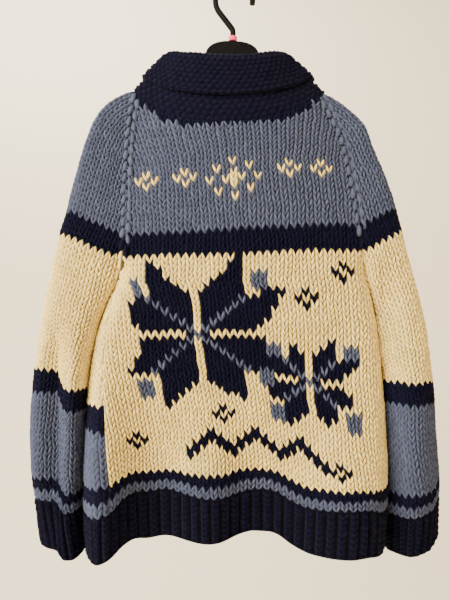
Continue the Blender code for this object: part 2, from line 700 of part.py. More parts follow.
def make_hanger_hook(finish):
    """The wire hook: a round part, a slanting part and a short bend above the ring."""
    centre_z = -HOOK_INNER_RADIUS
    radius = HOOK_INNER_RADIUS + HOOK_WIRE / 2
    tip = math.radians(HOOK_TIP_ANGLE)
    sweep = math.radians(HOOK_SWEEP_END) - tip
    points = []
    for step in range(HOOK_STEPS + 1):
        angle = tip + sweep * step / HOOK_STEPS
        points.append((radius * math.cos(angle), centre_z + radius * math.sin(angle)))
    points += HOOK_BEND
    points.append((0.0, DOME_TOP_Z + RING_HEIGHT + 2 * PART_GAP))
    curve = bpy.data.curves.new("hook", "CURVE")
    curve.dimensions = "3D"
    curve.bevel_depth = HOOK_WIRE / 2
    curve.bevel_resolution = 3
    curve.use_fill_caps = True
    line = curve.splines.new("POLY")
    line.points.add(len(points) - 1)
    for item, (x, z) in zip(line.points, points):
        item.co = (x, 0.0, z, 1.0)
    curve.materials.append(finish)
    hook = bpy.data.objects.new("hanger_hook", curve)
    bpy.context.scene.collection.objects.link(hook)
    return hook


def make_hanger_ring(finish):
    """The small ring round the hook's foot."""
    build = bmesh.new()
    bmesh.ops.create_cone(
        build, cap_ends=True, segments=RING_SEGMENTS, radius1=RING_RADIUS,
        radius2=RING_RADIUS, depth=RING_HEIGHT,
    )
    middle_z = DOME_TOP_Z + PART_GAP + RING_HEIGHT / 2
    bmesh.ops.translate(build, verts=build.verts[:], vec=(0.0, 0.0, middle_z))
    mesh = bpy.data.meshes.new("hanger_ring")
    build.to_mesh(mesh)
    build.free()
    return finish_object("hanger_ring", mesh, finish)


def make_hanger(finishes):
    """Body, hook and ring, leaning a little to the side together."""
    pieces = (
        make_hanger_body(finishes["black"]),
        make_hanger_hook(finishes["black"]),
        make_hanger_ring(finishes["pink"]),
    )
    for piece in pieces:
        piece.rotation_euler = (0.0, math.radians(HANGER_TILT), 0.0)


def main():
    """Build every piece."""
    for item in list(bpy.data.objects):
        bpy.data.objects.remove(item)
    finishes = {
        "navy": material("navy_wool", NAVY, 0.95),
        "ivory": material("ivory_wool", IVORY, 0.95),
        "black": material("black_plastic", BLACK, 0.35),
        "pink": material("pink_plastic", PINK, 0.45),
    }
    make_garment(finishes)
    make_hanger(finishes)


main()
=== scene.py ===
import math

import bmesh
import bpy
import numpy as np
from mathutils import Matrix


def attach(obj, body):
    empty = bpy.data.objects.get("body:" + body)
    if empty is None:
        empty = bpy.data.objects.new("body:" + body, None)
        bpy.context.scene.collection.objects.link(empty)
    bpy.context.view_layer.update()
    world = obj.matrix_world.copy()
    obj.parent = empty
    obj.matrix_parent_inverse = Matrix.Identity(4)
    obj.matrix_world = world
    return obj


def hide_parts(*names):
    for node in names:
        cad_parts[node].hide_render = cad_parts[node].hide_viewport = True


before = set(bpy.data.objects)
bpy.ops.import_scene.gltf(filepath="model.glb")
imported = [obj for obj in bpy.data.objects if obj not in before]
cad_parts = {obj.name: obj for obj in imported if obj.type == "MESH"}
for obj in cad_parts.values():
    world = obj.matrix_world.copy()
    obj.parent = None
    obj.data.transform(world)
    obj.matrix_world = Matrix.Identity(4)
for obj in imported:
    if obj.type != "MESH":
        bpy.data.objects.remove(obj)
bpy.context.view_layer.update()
print("frame loaded")

yarns = {
    "ivory": (0.880, 0.665, 0.240),
    "navy": (0.0026, 0.0027, 0.0150),
    "blue": (0.070, 0.083, 0.140),
}
ivory, navy, blue = range(len(yarns))
yarnShades = np.array(list(yarns.values()))

knit = {
    "underarmRow": 33.5,
    "bodyRibRow": 71.0,
    "bodyEndRow": 79.0,
    "cuffRibRow": 77.0,
    "cuffEndRow": 85.0,
    "legStraight": 0.30,  # part of a leg's climb that is even
    "lean": 0.24,  # how much steeper its grain stands
    "plumpness": 2.7,  # 2 makes each grain an ellipse, more fills its cell
    "roundness": 0.6,  # lower makes the grains flatter on top
    "strandGap": 0.92,  # 1 closes the grains at their sides, less lets them touch
    "footJoin": 0.92,  # under 1 the two legs of a stitch meet at their foot
    "crest": 0.0017,  # how far the yarn stands out
    "crease": -0.0019,  # and how far the gaps go in
    "seamCrease": 0.6,  # part of that depth at the edges
    "wall": 0.0060,
    "underCollar": 1.6,  # rows hidden under the collar
    "fan": 0.18,  # how much wider stitches are at the top of the yoke
    "fanRows": 15.0,
    "widening": 0.008,  # stitches gained a row below the underarm
    "wideningEnd": 60.0,
    "seamPull": 0.02,  # stitches left free at a seam
    "seamFade": 0.22,  # stitches over which the relief begins
    "endFade": 0.5,  # and rows
    "sideways": 0.8,  # part of the unevenness that goes along a row
    "unevenness": 0.22,  # of the grains' heights
    "lumps": 0.0006,  # height of the broad unevenness
    "shadeChange": 0.12,
    "innerPaintedShade": 0.4,  # painted shade of the plain inner side, as a depth in the gaps
    "noiseSizes": (1.7, 1.3, 1.0, 4.5),  # of place, row, height and lumps, in stitches
    "ribSharpness": 0.8,
    "ribGrain": 0.35,  # part of the grain left between ribs
}

# grid steps a half stitch and a strand, and grid lines to one of the inner wall; shear is
# the rows that each leg climbs, wobble the unevenness of hand knitting, in stitches
plainKnit = {"perHalf": 4, "perStrand": 4, "wallEvery": 1, "shear": 1.0, "wobble": 0.18, "ribDepth": 0.0}
ribKnit = {**plainKnit, "perHalf": 5, "shear": 0.45, "wobble": 0.06, "ribDepth": 0.0044, "ribLift": 0.0008}

body = {
    "edgeRound": 0.030,
    "middleY": -0.008,
    "middlePower": 2.4,  # more keeps the depth even for longer towards the sides
    "closingRow": 26.0,  # where the side starts to close, below the armhole
    "waveRow": 56.0,
    "fullWaveRow": 72.0,
}


# a table as one array for each of its named columns
def columnsOf(names, *rows):
    values = np.array(rows, dtype=float)
    return {name: values[:, index] for index, name in enumerate(names.split())}


# heights of rows across the back, from its left edge to its right one
courses = columnsOf(
    "row left quarter middle threeQuarter right",
    (0.0, -0.161, -0.162, -0.162, -0.163, -0.164),
    (15.5, -0.285, -0.282, -0.2735, -0.268, -0.268),
    (29.0, -0.3895, -0.3868, -0.3845, -0.3805, -0.3813),
    (67.0, -0.6863, -0.6773, -0.6774, -0.6908, -0.6928),
    (71.0, -0.7209, -0.7033, -0.7054, -0.7145, -0.7248),
    (79.0, -0.78, -0.765, -0.762, -0.7755, -0.778),
)

# how much lower the hem hangs along its waves
hemWave = columnsOf(
    "x drop",
    (-0.2, 0.012), (-0.1725, 0.005), (-0.16, 0.0), (-0.148, -0.0075), (-0.1375, -0.0095),
    (-0.118, -0.003), (-0.094, -0.0025), (-0.065, 0.0035), (-0.03, 0.007), (-0.0175, 0.007),
    (0.0067, 0.002), (0.0364, -0.0028), (0.058, -0.0015), (0.074, 0.0055), (0.094, 0.0088),
    (0.1145, 0.0055), (0.1415, 0.0), (0.175, -0.0025), (0.197, 0.005),
)

# the body's edges and depths: seam is the back's left edge, nearEdge to nearMiddle its depth
bodyLines = columnsOf(
    "row seam left right nearEdge nearMiddle far",
    (0.0, -0.14, -0.14, 0.1178, -0.013, -0.026, 0.013),
    (4.0, -0.1458, -0.1458, 0.1318, -0.0138, -0.029, 0.015),
    (8.0, -0.149, -0.149, 0.144, -0.0155, -0.031, 0.0165),
    (15.5, -0.1515, -0.1515, 0.156, -0.021, -0.0355, 0.018),
    (25.0, -0.153, -0.153, 0.168, -0.028, -0.039, 0.02),
    (29.0, -0.156, -0.156, 0.174, -0.03, -0.04, 0.02),
    (33.5, -0.165, -0.165, 0.183, -0.031, -0.04, 0.0205),
    (41.0, -0.1739, -0.1878, 0.1962, -0.033, -0.038, 0.021),
    (48.0, -0.1767, -0.1985, 0.2032, -0.034, -0.036, 0.0215),
    (54.5, -0.1722, -0.204, 0.2073, -0.033, -0.034, 0.022),
    (60.0, -0.1683, -0.207, 0.2093, -0.032, -0.032, 0.022),
    (68.5, -0.1608, -0.21, 0.211, -0.029, -0.029, 0.0225),
    (71.0, -0.16, -0.2102, 0.211, -0.028, -0.028, 0.0225),
    (79.0, -0.1595, -0.206, 0.209, -0.026, -0.026, 0.0225),
)

foldNames = "x depth leftWidth rightWidth startRow fullRow"
backFolds = columnsOf(
    foldNames,
    (-0.172, 0.044, 0.036, 0.034, 38.0, 73.0),
    (-0.034, 0.026, 0.042, 0.036, 50.0, 75.0),
    (0.15, 0.046, 0.068, 0.06, 44.0, 74.0),
)
frontFolds = columnsOf(
    foldNames,
    (-0.12, 0.01, 0.04, 0.04, 46.0, 76.0),
    (0.02, 0.012, 0.045, 0.05, 40.0, 74.0),
    (0.13, 0.008, 0.035, 0.035, 50.0, 76.0),
)

# the powers of the sleeves' superellipses at the cap and down the tube
sleeves = {"capBluntness": 4.0, "tubeBluntness": 2.3, "capRow": 6.0, "tubeRow": 44.0, "joinRows": 6}

leftSleeve = {
    "edge": "left",
    "outer": columnsOf(
        "row x z",
        (0.0, -0.1441, -0.154), (2.1, -0.1597, -0.1611), (5.3, -0.181, -0.1753),
        (8.7, -0.196, -0.1966), (11.7, -0.205, -0.2193), (17.2, -0.2178, -0.2619),
        (25.0, -0.2335, -0.323), (29.0, -0.2425, -0.3556), (33.5, -0.252, -0.395),
        (44.0, -0.2655, -0.466), (55.0, -0.2765, -0.541), (66.0, -0.2829, -0.628),
        (73.0, -0.2803, -0.687), (77.0, -0.2772, -0.7165), (85.0, -0.269, -0.781),
    ),
    "inner": columnsOf(
        "row x z near far",
        (33.5, -0.165, -0.4255, -0.031, 0.0205),
        (37.0, -0.18, -0.453, -0.033, 0.022),
        (44.0, -0.194, -0.499, -0.037, 0.024),
        (55.0, -0.204, -0.568, -0.04, 0.026),
        (66.0, -0.21, -0.65, -0.04, 0.027),
        (73.0, -0.2125, -0.708, -0.04, 0.028),
        (77.0, -0.2125, -0.732, -0.039, 0.028),
        (85.0, -0.207, -0.7915, -0.038, 0.026),
    ),
    "folds": columnsOf(
        foldNames,
        (-0.206, 0.028, 0.017, 0.028, 36.0, 58.0),
        (-0.24, -0.009, 0.016, 0.009, 40.0, 58.0),
        (-0.237, 0.012, 0.017, 0.014, 70.0, 80.0),
    ),
    # at the fold the rows step down: place, half width, part of the height, first and full row
    "step": (0.2335, 0.0080, 0.9, 40.0, 54.0),
}

rightSleeve = {
    "edge": "right",
    "outer": columnsOf(
        "row x z",
        (0.0, 0.1299, -0.1597), (2.6, 0.1469, -0.1711), (5.4, 0.164, -0.1838),
        (7.9, 0.1765, -0.1966), (14.2, 0.1955, -0.2406), (20.1, 0.2125, -0.2832),
        (25.0, 0.2235, -0.3201), (29.0, 0.2315, -0.3514), (33.5, 0.2405, -0.389),
        (44.0, 0.2615, -0.47), (55.0, 0.2733, -0.558), (66.0, 0.2775, -0.636),
        (73.0, 0.282, -0.685), (77.0, 0.2832, -0.7105), (85.0, 0.2824, -0.7765),
    ),
    "inner": columnsOf(
        "row x z near far",
        (33.5, 0.183, -0.419, -0.031, 0.0205),
        (37.0, 0.1935, -0.446, -0.033, 0.022),
        (44.0, 0.201, -0.498, -0.037, 0.024),
        (55.0, 0.208, -0.5592, -0.04, 0.026),
        (66.0, 0.212, -0.645, -0.042, 0.027),
        (73.0, 0.2135, -0.712, -0.041, 0.028),
        (77.0, 0.2135, -0.7425, -0.038, 0.028),
        (85.0, 0.212, -0.795, -0.03, 0.026),
    ),
    "folds": columnsOf(
        foldNames,
        (0.205, -0.013, 0.014, 0.022, 30.0, 40.0),
        (0.233, 0.012, 0.02, 0.024, 44.0, 66.0),
    ),
    "step": (0.2720, 0.0090, 0.5, 58.0, 72.0),
}


# a cubic curve through one column of a table, level past its two ends
def along(row, table, name, key="row"):
    xs, ys = table[key], table[name]
    slopes = np.gradient(ys, xs)
    row = np.clip(row, xs[0], xs[-1])
    index = np.clip(np.searchsorted(xs, row, side="right") - 1, 0, len(xs) - 2)
    step = xs[index + 1] - xs[index]
    t = (row - xs[index]) / step
    start = (1 + 2 * t) * (1 - t) ** 2 * ys[index] + t * (1 - t) ** 2 * step * slopes[index]
    return start + t * t * (3 - 2 * t) * ys[index + 1] - t * t * (1 - t) * step * slopes[index + 1]


# 0 below start, 1 above end, eased as t*t*(3-2t)
def ease(x, start, end):
    t = np.clip((x - start) / (end - start), 0.0, 1.0)
    return t * t * (3 - 2 * t)


# the sum of bell curves exp(-(distance/width)^2), each growing from startRow to fullRow
def foldDepth(x, row, folds):
    depth = 0.0
    for index in range(len(folds["x"])):
        distance = x - folds["x"][index]
        width = np.where(distance < 0, folds["leftWidth"][index], folds["rightWidth"][index])
        growth = ease(row, folds["startRow"][index], folds["fullRow"][index])
        depth = depth + folds["depth"][index] * growth * np.exp(-(distance / width) ** 2)
    return depth


# the fourth-order polynomial through five heights, across being 0 to 1
def courseHeight(across, row):
    stations = (0.0, 0.25, 0.5, 0.75, 1.0)
    across = np.clip(across, 0.0, 1.0)
    total = 0.0
    for own, name in zip(stations, ("left", "quarter", "middle", "threeQuarter", "right")):
        weight = 1.0
        for other in stations:
            if other != own:
                weight = weight * (across - other) / (own - other)
        total = total + weight * along(row, courses, name)
    return total


# how much lower the waves bring a place of a row
def waveDrop(x, row):
    return along(x, hemWave, "drop", key="x") * ease(row, body["waveRow"], body["fullWaveRow"])


# 0 where the yoke opens into the sleeves, 1 where the body's side is closed
def sideClosing(row):
    return ease(row, body["closingRow"], knit["underarmRow"])


# the two sides of the body at a row, and the seam between its back and its front
def bodyEdges(row):
    return (along(row, bodyLines, name) for name in ("left", "right", "seam"))


# a flattened tube: x is centre + half width * cos(angle), y the depth of its near or far
# side, drawn to the middle near the side folds; angle 0 is right, pi left, past pi the back
def bodyPoint(angle, row):
    left, right, seam = bodyEdges(row)
    x = (left + right) / 2 + (right - left) / 2 * np.cos(angle)
    inward = np.minimum(x - left, right - x)
    rounding = np.sqrt(1 - np.clip(1 - inward / body["edgeRound"], 0.0, 1.0) ** 2)
    closing = 1 - sideClosing(row) * (1 - rounding)
    middleShare = 1 - np.abs(np.cos(angle)) ** body["middlePower"]
    nearEdge = along(row, bodyLines, "nearEdge")
    nearY = nearEdge + (along(row, bodyLines, "nearMiddle") - nearEdge) * middleShare
    nearY = nearY - foldDepth(x, row, backFolds)
    farY = along(row, bodyLines, "far") + foldDepth(x, row, frontFolds) * middleShare
    isNear = angle > math.pi
    y = body["middleY"] + (np.where(isNear, nearY, farY) - body["middleY"]) * closing
    share = np.clip((x - seam) / (right - seam), 0, 1)
    leftZ = courseHeight(0.0, row) - waveDrop(left, row)
    rightZ = courseHeight(1.0, row) - waveDrop(right, row)
    nearZ = courseHeight(share, row) - waveDrop(x, row)
    z = np.where(isNear, nearZ, leftZ * (1 - share) + rightZ * share)
    return np.stack(np.broadcast_arrays(x, y, z), axis=-1)


# the angle where the front ends on the left: a half turn in the yoke, and below it the
# side seam's, a little round the near side of the left fold
def seamAngle(row):
    if row < knit["underarmRow"]:
        return math.pi
    left, right, seam = bodyEdges(row)
    cosine = (seam - (left + right) / 2) / ((right - left) / 2)
    return 2 * math.pi - float(np.arccos(np.clip(cosine, -1.0, 1.0)))


# the superellipse's power: blunt at the cap, rounder down the tube
def sleevePower(row):
    cap, tube = sleeves["capBluntness"], sleeves["tubeBluntness"]
    return cap + (tube - cap) * ease(row, sleeves["capRow"], sleeves["tubeRow"])


# the angle where a sleeve's row starts: a quarter turn in the yoke, none in the tube
def sleeveOpening(row):
    return float(np.arcsin((1 - sideClosing(row)) ** (sleevePower(row) / 2)))


# a superellipse from the inner line (angle 0) over the near side and the outer line (pi)
def sleevePoint(angle, row, sleeve):
    yoke = row < knit["underarmRow"]

    # a value of the inner line: the body's in the yoke, the sleeve's own below it
    def inner(bodyName, name):
        return np.where(yoke, along(row, bodyLines, bodyName), along(row, sleeve["inner"], name))

    innerX = inner(sleeve["edge"], "x")
    edgeHeight = courseHeight(0.0 if sleeve["edge"] == "left" else 1.0, row)
    join = ease(row, knit["underarmRow"], knit["underarmRow"] + sleeves["joinRows"])
    innerZ = np.where(yoke, edgeHeight, edgeHeight * (1 - join) + along(row, sleeve["inner"], "z") * join)
    nearY, farY = inner("nearEdge", "near"), inner("far", "far")
    power = 2 / sleevePower(row)
    outerX = along(row, sleeve["outer"], "x")
    half = (innerX - outerX) / (1 + math.cos(sleeveOpening(row[0])) ** power)
    x = outerX + half * (1 + np.sign(np.cos(angle)) * np.abs(np.cos(angle)) ** power)
    isNear = np.sin(angle) > 0
    depth = np.where(isNear, nearY - foldDepth(x, row, sleeve["folds"]), farY) - body["middleY"]
    y = body["middleY"] + depth * np.abs(np.sin(angle)) ** power
    share = (innerX - x) / (innerX - outerX)
    stepX, stepHalf, part, startRow, fullRow = sleeve["step"]
    stepped = ease(np.abs(x), stepX - stepHalf, stepX + stepHalf)
    share = share + (stepped - share) * part * ease(row, startRow, fullRow)
    z = innerZ + (along(row, sleeve["outer"], "z") - innerZ) * share
    return np.stack(np.broadcast_arrays(x, y, z), axis=-1)


# vectors of length 1
def unit(vectors):
    return vectors / np.maximum(np.linalg.norm(vectors, axis=-1, keepdims=True), 1e-12)


# how far each point of a line, or on average each row of a sheet, lies from the first
def distances(line):
    steps = np.linalg.norm(np.diff(line, axis=0), axis=-1)
    return np.concatenate(([0.0], np.cumsum(steps.reshape(len(steps), -1).mean(axis=1))))


# points at wanted distances along a line
def pointsAt(wanted, away, line):
    return np.stack([np.interp(wanted, away, line[:, axis]) for axis in range(3)], axis=-1)


# a sheet's table: points, unit normals and angles at even shares of each row's length,
# from point(angle, row) between the angles start(row) and end(row)
def layOut(point, start, end, lastRow, flip, tubeFrom=None, steps=200, rowStep=0.5, samples=1601):
    rows = np.arange(0.0, lastRow + rowStep / 2, rowStep)
    lines, turns, lengths = [], [], []
    for row in rows:
        angles = np.linspace(start(row), end(row), samples)
        path = point(angles, np.full(angles.shape, row))
        away = distances(path)
        wanted = np.linspace(0.0, away[-1], steps + 1)
        lines.append(pointsAt(wanted, away, path))
        turns.append(np.interp(wanted, away, angles))
        lengths.append(away[-1])
    lines = np.array(lines)
    normals = np.cross(np.gradient(lines, axis=1), np.gradient(lines, axis=0)) * flip
    if tubeFrom is not None:
        tube = rows >= tubeFrom
        normals[tube, 0] += normals[tube, -1]
        normals[tube, -1] = normals[tube, 0]
    return {
        "rows": rows, "rowStep": rowStep, "steps": steps, "points": lines, "normals": unit(normals),
        "angles": np.array(turns), "lengths": np.array(lengths),
    }


# a table's value between four neighbours, dj of the way across and di of the way down
def between(grid, i, j, di, dj):
    upper = grid[i, j] * (1 - dj) + grid[i, j + 1] * dj
    lower = grid[i + 1, j] * (1 - dj) + grid[i + 1, j + 1] * dj
    return upper * (1 - di) + lower * di


# one of a sheet's tables at a share across and a row
def sampled(sheet, name, share, row):
    grid = sheet[name]
    down = np.clip(row / sheet["rowStep"], 0, grid.shape[0] - 1.000001)
    across = np.clip(share * sheet["steps"], 0, sheet["steps"] - 0.000001)
    i, j = down.astype(int), across.astype(int)
    di, dj = down - i, across - j
    if grid.ndim == 3:
        di, dj = di[..., None], dj[..., None]
    return between(grid, i, j, di, dj)


# random numbers from -1 to 1 on a lattice of this size, eased from one to the next
def softNoise(across, down, size, seed, cells=256):
    lattice = np.random.default_rng(seed).uniform(-1.0, 1.0, (cells + 1, cells + 1))
    a, d = np.mod(across / size, cells), np.mod(down / size, cells)
    i, j = d.astype(int), a.astype(int)
    return between(lattice, i, j, ease(d - i, 0, 1), ease(a - j, 0, 1))


# an object at the origin for a mesh, a lamp or a camera
def addObject(name, data):
    added = bpy.data.objects.new(name, data)
    bpy.context.scene.collection.objects.link(added)
    return added


# the first corner of each polygon, from their sizes
def startsOf(sizes):
    return np.concatenate(([0], np.cumsum(sizes)[:-1]))


# polygons of any length whose corners may coincide: corners nearer than the tolerance
# become one, and polygons left with under three corners go
def weld(places, corners, sizes, tolerance=2e-6):
    keys = np.round(places / tolerance).astype(np.int64)
    _, first, merged = np.unique(keys, axis=0, return_index=True, return_inverse=True)
    owner = np.repeat(np.arange(len(sizes)), sizes)
    starts = startsOf(sizes)
    nextIndex = np.arange(len(corners)) + 1
    nextIndex[starts + sizes - 1] = starts
    welded = merged.reshape(-1)[corners]
    keep = welded != welded[nextIndex]
    keep &= np.bincount(owner[keep], minlength=len(sizes))[owner] >= 3
    counts = np.bincount(owner[keep])
    used, compact = np.unique(welded[keep], return_inverse=True)
    return places[first][used], compact.reshape(-1), counts[counts > 0], keep


# a welded mesh as a piece of the scene: its corners hold their stitch and strand, yarn colour
# and painted shade for the gaps, and it is turned right side out by the sign of its volume
def addCloth(name, places, corners, sizes, spots, colours, gaps, finish):
    places, corners, sizes, keep = weld(places, corners, sizes)
    mesh = bpy.data.meshes.new(name)
    mesh.vertices.add(len(places))
    mesh.vertices.foreach_set("co", places.astype(np.float32).ravel())
    mesh.loops.add(len(corners))
    mesh.loops.foreach_set("vertex_index", corners.astype(np.int32))
    mesh.polygons.add(len(sizes))
    mesh.polygons.foreach_set("loop_start", startsOf(sizes).astype(np.int32))
    mesh.polygons.foreach_set("loop_total", sizes.astype(np.int32))
    mesh.update(calc_edges=True)
    mesh.uv_layers.new(name="knit").data.foreach_set("uv", spots[keep].astype(np.float32).ravel())
    layers = (("yarn", "FLOAT_COLOR", "color", colours), ("gapShade", "FLOAT", "value", gaps))
    for label, kind, key, values in layers:
        layer = mesh.attributes.new(label, kind, "CORNER")
        layer.data.foreach_set(key, values[keep].astype(np.float32).ravel())
    mesh.validate()
    mesh.shade_smooth()
    solid = bmesh.new()
    solid.from_mesh(mesh)
    if solid.calc_volume(signed=True) < 0:
        mesh.flip_normals()
    solid.free()
    mesh.materials.append(finish)
    print(f"{name}: {len(sizes)} faces")
    return addObject(name, mesh)


# the quads between the lines of a grid whose rows run round
def ringFaces(index):
    after = np.roll(index, -1, axis=1)
    return np.stack((index[:-1], after[:-1], after[1:], index[1:]), axis=-1).reshape(-1, 4)


# a closed wall between a fine outer grid and an inner one of every nth line: the outer quads,
# the inner quads and a strip of many-cornered faces on each of four sides
def wallFaces(fine, coarse, everyRow, everyColumn):
    outer = np.stack((fine[:-1, :-1], fine[1:, :-1], fine[1:, 1:], fine[:-1, 1:]), axis=-1)
    inner = np.stack((coarse[:-1, :-1], coarse[:-1, 1:], coarse[1:, 1:], coarse[1:, :-1]), axis=-1)
    corners = [outer.ravel(), inner.ravel()]
    sizes = [np.full((outer.size + inner.size) // 4, 4)]
    sides = (
        (fine[0, :], coarse[0, :], everyColumn, False), (fine[-1, :], coarse[-1, :], everyColumn, True),
        (fine[:, 0], coarse[:, 0], everyRow, True), (fine[:, -1], coarse[:, -1], everyRow, False),
    )
    for fineLine, coarseLine, every, turned in sides:
        spans = len(coarseLine) - 1
        picks = np.arange(spans)[:, None] * every + np.arange(every + 1)
        strip = np.concatenate((fineLine[picks], coarseLine[1:, None], coarseLine[:-1, None]), axis=1)
        corners.append((strip[:, ::-1] if turned else strip).ravel())
        sizes.append(np.full(spans, every + 3))
    return np.concatenate(corners), np.concatenate(sizes)


# a grid of stitch numbers s across a piece and strand numbers t down it, past both its ends
def stitchGrid(edges, rows, look):
    stations = np.linspace(*rows, 161)
    lowColumn = math.floor(edges[0](stations).min())
    highColumn = math.ceil(edges[1](stations).max())
    firstStrand, lastStrand = math.floor(rows[0]) - 1, math.ceil(rows[1]) + 1
    firstStrand += (lastStrand - firstStrand) % look["wallEvery"]
    halves, strands = 2 * (highColumn - lowColumn), lastStrand - firstStrand
    s = lowColumn + np.arange(halves * look["perHalf"] + 1) / (2 * look["perHalf"])
    t = firstStrand + np.arange(strands * look["perStrand"] + 1) / look["perStrand"]
    return np.meshgrid(s, t)


# how far a leg has climbed: straight at the foot of the V, rounded at its top
def legRise(away):
    straight = knit["legStraight"]
    return straight * away + (1 - straight) * np.sin(math.pi / 2 * away)


# where the grid lies on its sheet. A strand lies at row t + 1/2 - shear * climb, climb being
# legRise(|2 * frac(s) - 1|), so every stitch is a V; the loop settles row and share together
def placeStitches(s, t, edges, rows, look):
    acrossSize, downSize = knit["noiseSizes"][:2]
    seed, pull = look["seed"], knit["seamPull"]
    placeS = s + look["wobble"] * knit["sideways"] * softNoise(s, t, acrossSize, seed)
    placeT = t + look["wobble"] * softNoise(s, t, downSize, seed + 1)
    row = np.clip(placeT, *rows)
    for _ in range(24):
        low, high = edges[0](row) + pull, edges[1](row) - pull
        inside = np.clip(placeS, low, high)
        share = (inside - low + pull) / (high - low + 2 * pull)
        climb = look["shear"] * legRise(np.abs(2 * np.mod(inside, 1.0) - 1))
        row = np.clip(placeT + 0.5 - climb, look["topRow"](share, row), rows[1])
    fromEdge = np.minimum(inside - low, high - inside)
    fromEnd = np.minimum(row - look["topRow"](share, row), rows[1] - row)
    acrossFade = np.clip(fromEdge / knit["seamFade"], 0, 1)
    return inside, share, row, acrossFade * np.clip(fromEnd / knit["endFade"], 0, 1) ** 0.5


# the yarn's height over the sheet and how much of it shows, which sets the painted shade in the gaps. Each
# leg is a grain of height (1 - |along|^p - gap * |across - lean * (1 - 2 * leg)|^p)^roundness, along and
# across it from -1 to 1, between the crease and the crest. Ribs are waves of the stitch number.
def stitchRelief(s, t, inside, fade, look):
    heightSize, lumpSize = knit["noiseSizes"][2:]
    power, crease = knit["plumpness"], knit["crease"]
    leg = np.abs(2 * np.mod(s, 1.0) - 1)
    span = np.where(leg < 0.5, knit["footJoin"], 1.0) * np.abs(2 * leg - 1)
    beside = np.abs(2 * np.mod(t, 1.0) - 1 - knit["lean"] * (1 - 2 * leg))
    filled = 1 - span ** power - knit["strandGap"] * beside ** power
    shown = np.clip(filled, 0, 1) ** knit["roundness"]
    strength = 1 + knit["unevenness"] * softNoise(s, t, heightSize, look["seed"] + 2)
    height = crease + (knit["crest"] - crease) * shown * strength
    if look["ribDepth"]:
        ridge = (0.5 - 0.5 * np.cos(2 * math.pi * np.mod(inside, 1.0))) ** knit["ribSharpness"]
        grain = knit["ribGrain"] + (1 - knit["ribGrain"]) * ridge
        height = height * grain - look["ribDepth"] * (1 - ridge) + look["ribLift"]
        # the valleys between ribs count as gaps for the painted shade
        shown = shown * ridge
    height = height * fade + crease * knit["seamCrease"] * (1 - fade)
    return height + knit["lumps"] * softNoise(s, t, lumpSize, look["seed"] + 3) * fade, shown


# colours with a full alpha
def opaque(colours):
    return np.concatenate((colours, np.ones((len(colours), 1))), axis=1)


# each face's yarn colour by the stitch and strand at its middle, each leg a little lighter
# or darker by a random number that the stitch and strand pick from a list
def stitchColours(s, t, sizes, yarnOf, seed, count=4096, picks=(131, 977, 7)):
    owner = np.repeat(np.arange(len(sizes)), sizes)
    middleS = np.bincount(owner, s) / sizes
    middleT = np.bincount(owner, t) / sizes
    strand = np.floor(np.clip(middleT, t.min(), t.max() - 0.01)).astype(int)
    yarn = yarnOf(np.floor(middleS).astype(int), strand)
    legs = np.floor(middleS * 2).astype(int)
    picked = np.mod(legs * picks[0] + strand * picks[1] + picks[2], count)
    own = np.random.default_rng(seed).uniform(-1, 1, count)[picked]
    colour = yarnShades[yarn] * (1 + knit["shadeChange"] * own[:, None])
    return opaque(colour)[owner]


# knitted cloth over a sheet's table: a wall with the relief outside, plain and coarser inside
def knitPiece(name, sheet, edges, rows, yarnOf, finish, look):
    s, t = stitchGrid(edges, rows, look)
    inside, share, row, fade = placeStitches(s, t, edges, rows, look)
    height, shown = stitchRelief(s, t, inside, fade, look)
    points, normals = sampled(sheet, "points", share, row), unit(sampled(sheet, "normals", share, row))
    everyRow, everyColumn = look["perStrand"] * look["wallEvery"], look["perHalf"] * look["wallEvery"]

    # values of the outer side's points, then of the inner side's
    def both(outer, inner):
        return np.concatenate((outer, inner[::everyRow, ::everyColumn].reshape(-1, *outer.shape[1:])))

    outer = (points + normals * height[..., None]).reshape(-1, 3)
    places = both(outer, points - normals * knit["wall"])
    fine = np.arange(s.size).reshape(s.shape)
    coarse = fine[::everyRow, ::everyColumn]
    coarse = s.size + np.arange(coarse.size).reshape(coarse.shape)
    corners, sizes = wallFaces(fine, coarse, everyRow, everyColumn)
    ownS, ownT = both(s.ravel(), s)[corners], both(t.ravel(), t)[corners]
    colours = stitchColours(ownS, ownT, sizes, yarnOf, look["seed"] + 5)
    # painted shade: the gaps between grains and ribs get their depth as shade, the plain inner side a fixed
    # amount
    gaps = both(1 - shown.ravel(), np.full(s.shape, knit["innerPaintedShade"]))[corners]
    return addCloth(name, places, corners, sizes, np.stack((ownS, ownT), axis=-1), colours, gaps, finish)


# the bands of yarn down a piece, each ending at a strand
yokeBands = ((25, blue), (29, navy))
hemBands = ((69, navy), (71, blue), (99, navy))
backBands = (*yokeBands, (67, ivory), *hemBands)
frontBands = (*yokeBands, (55, ivory), (59, navy), (67, blue), *hemBands)
sleeveBands = (*yokeBands, (55, ivory), (59, navy), (73, blue), (75, navy), (77, blue), (99, navy))
seamBands = ((26, blue), (28, navy), (99, ivory))

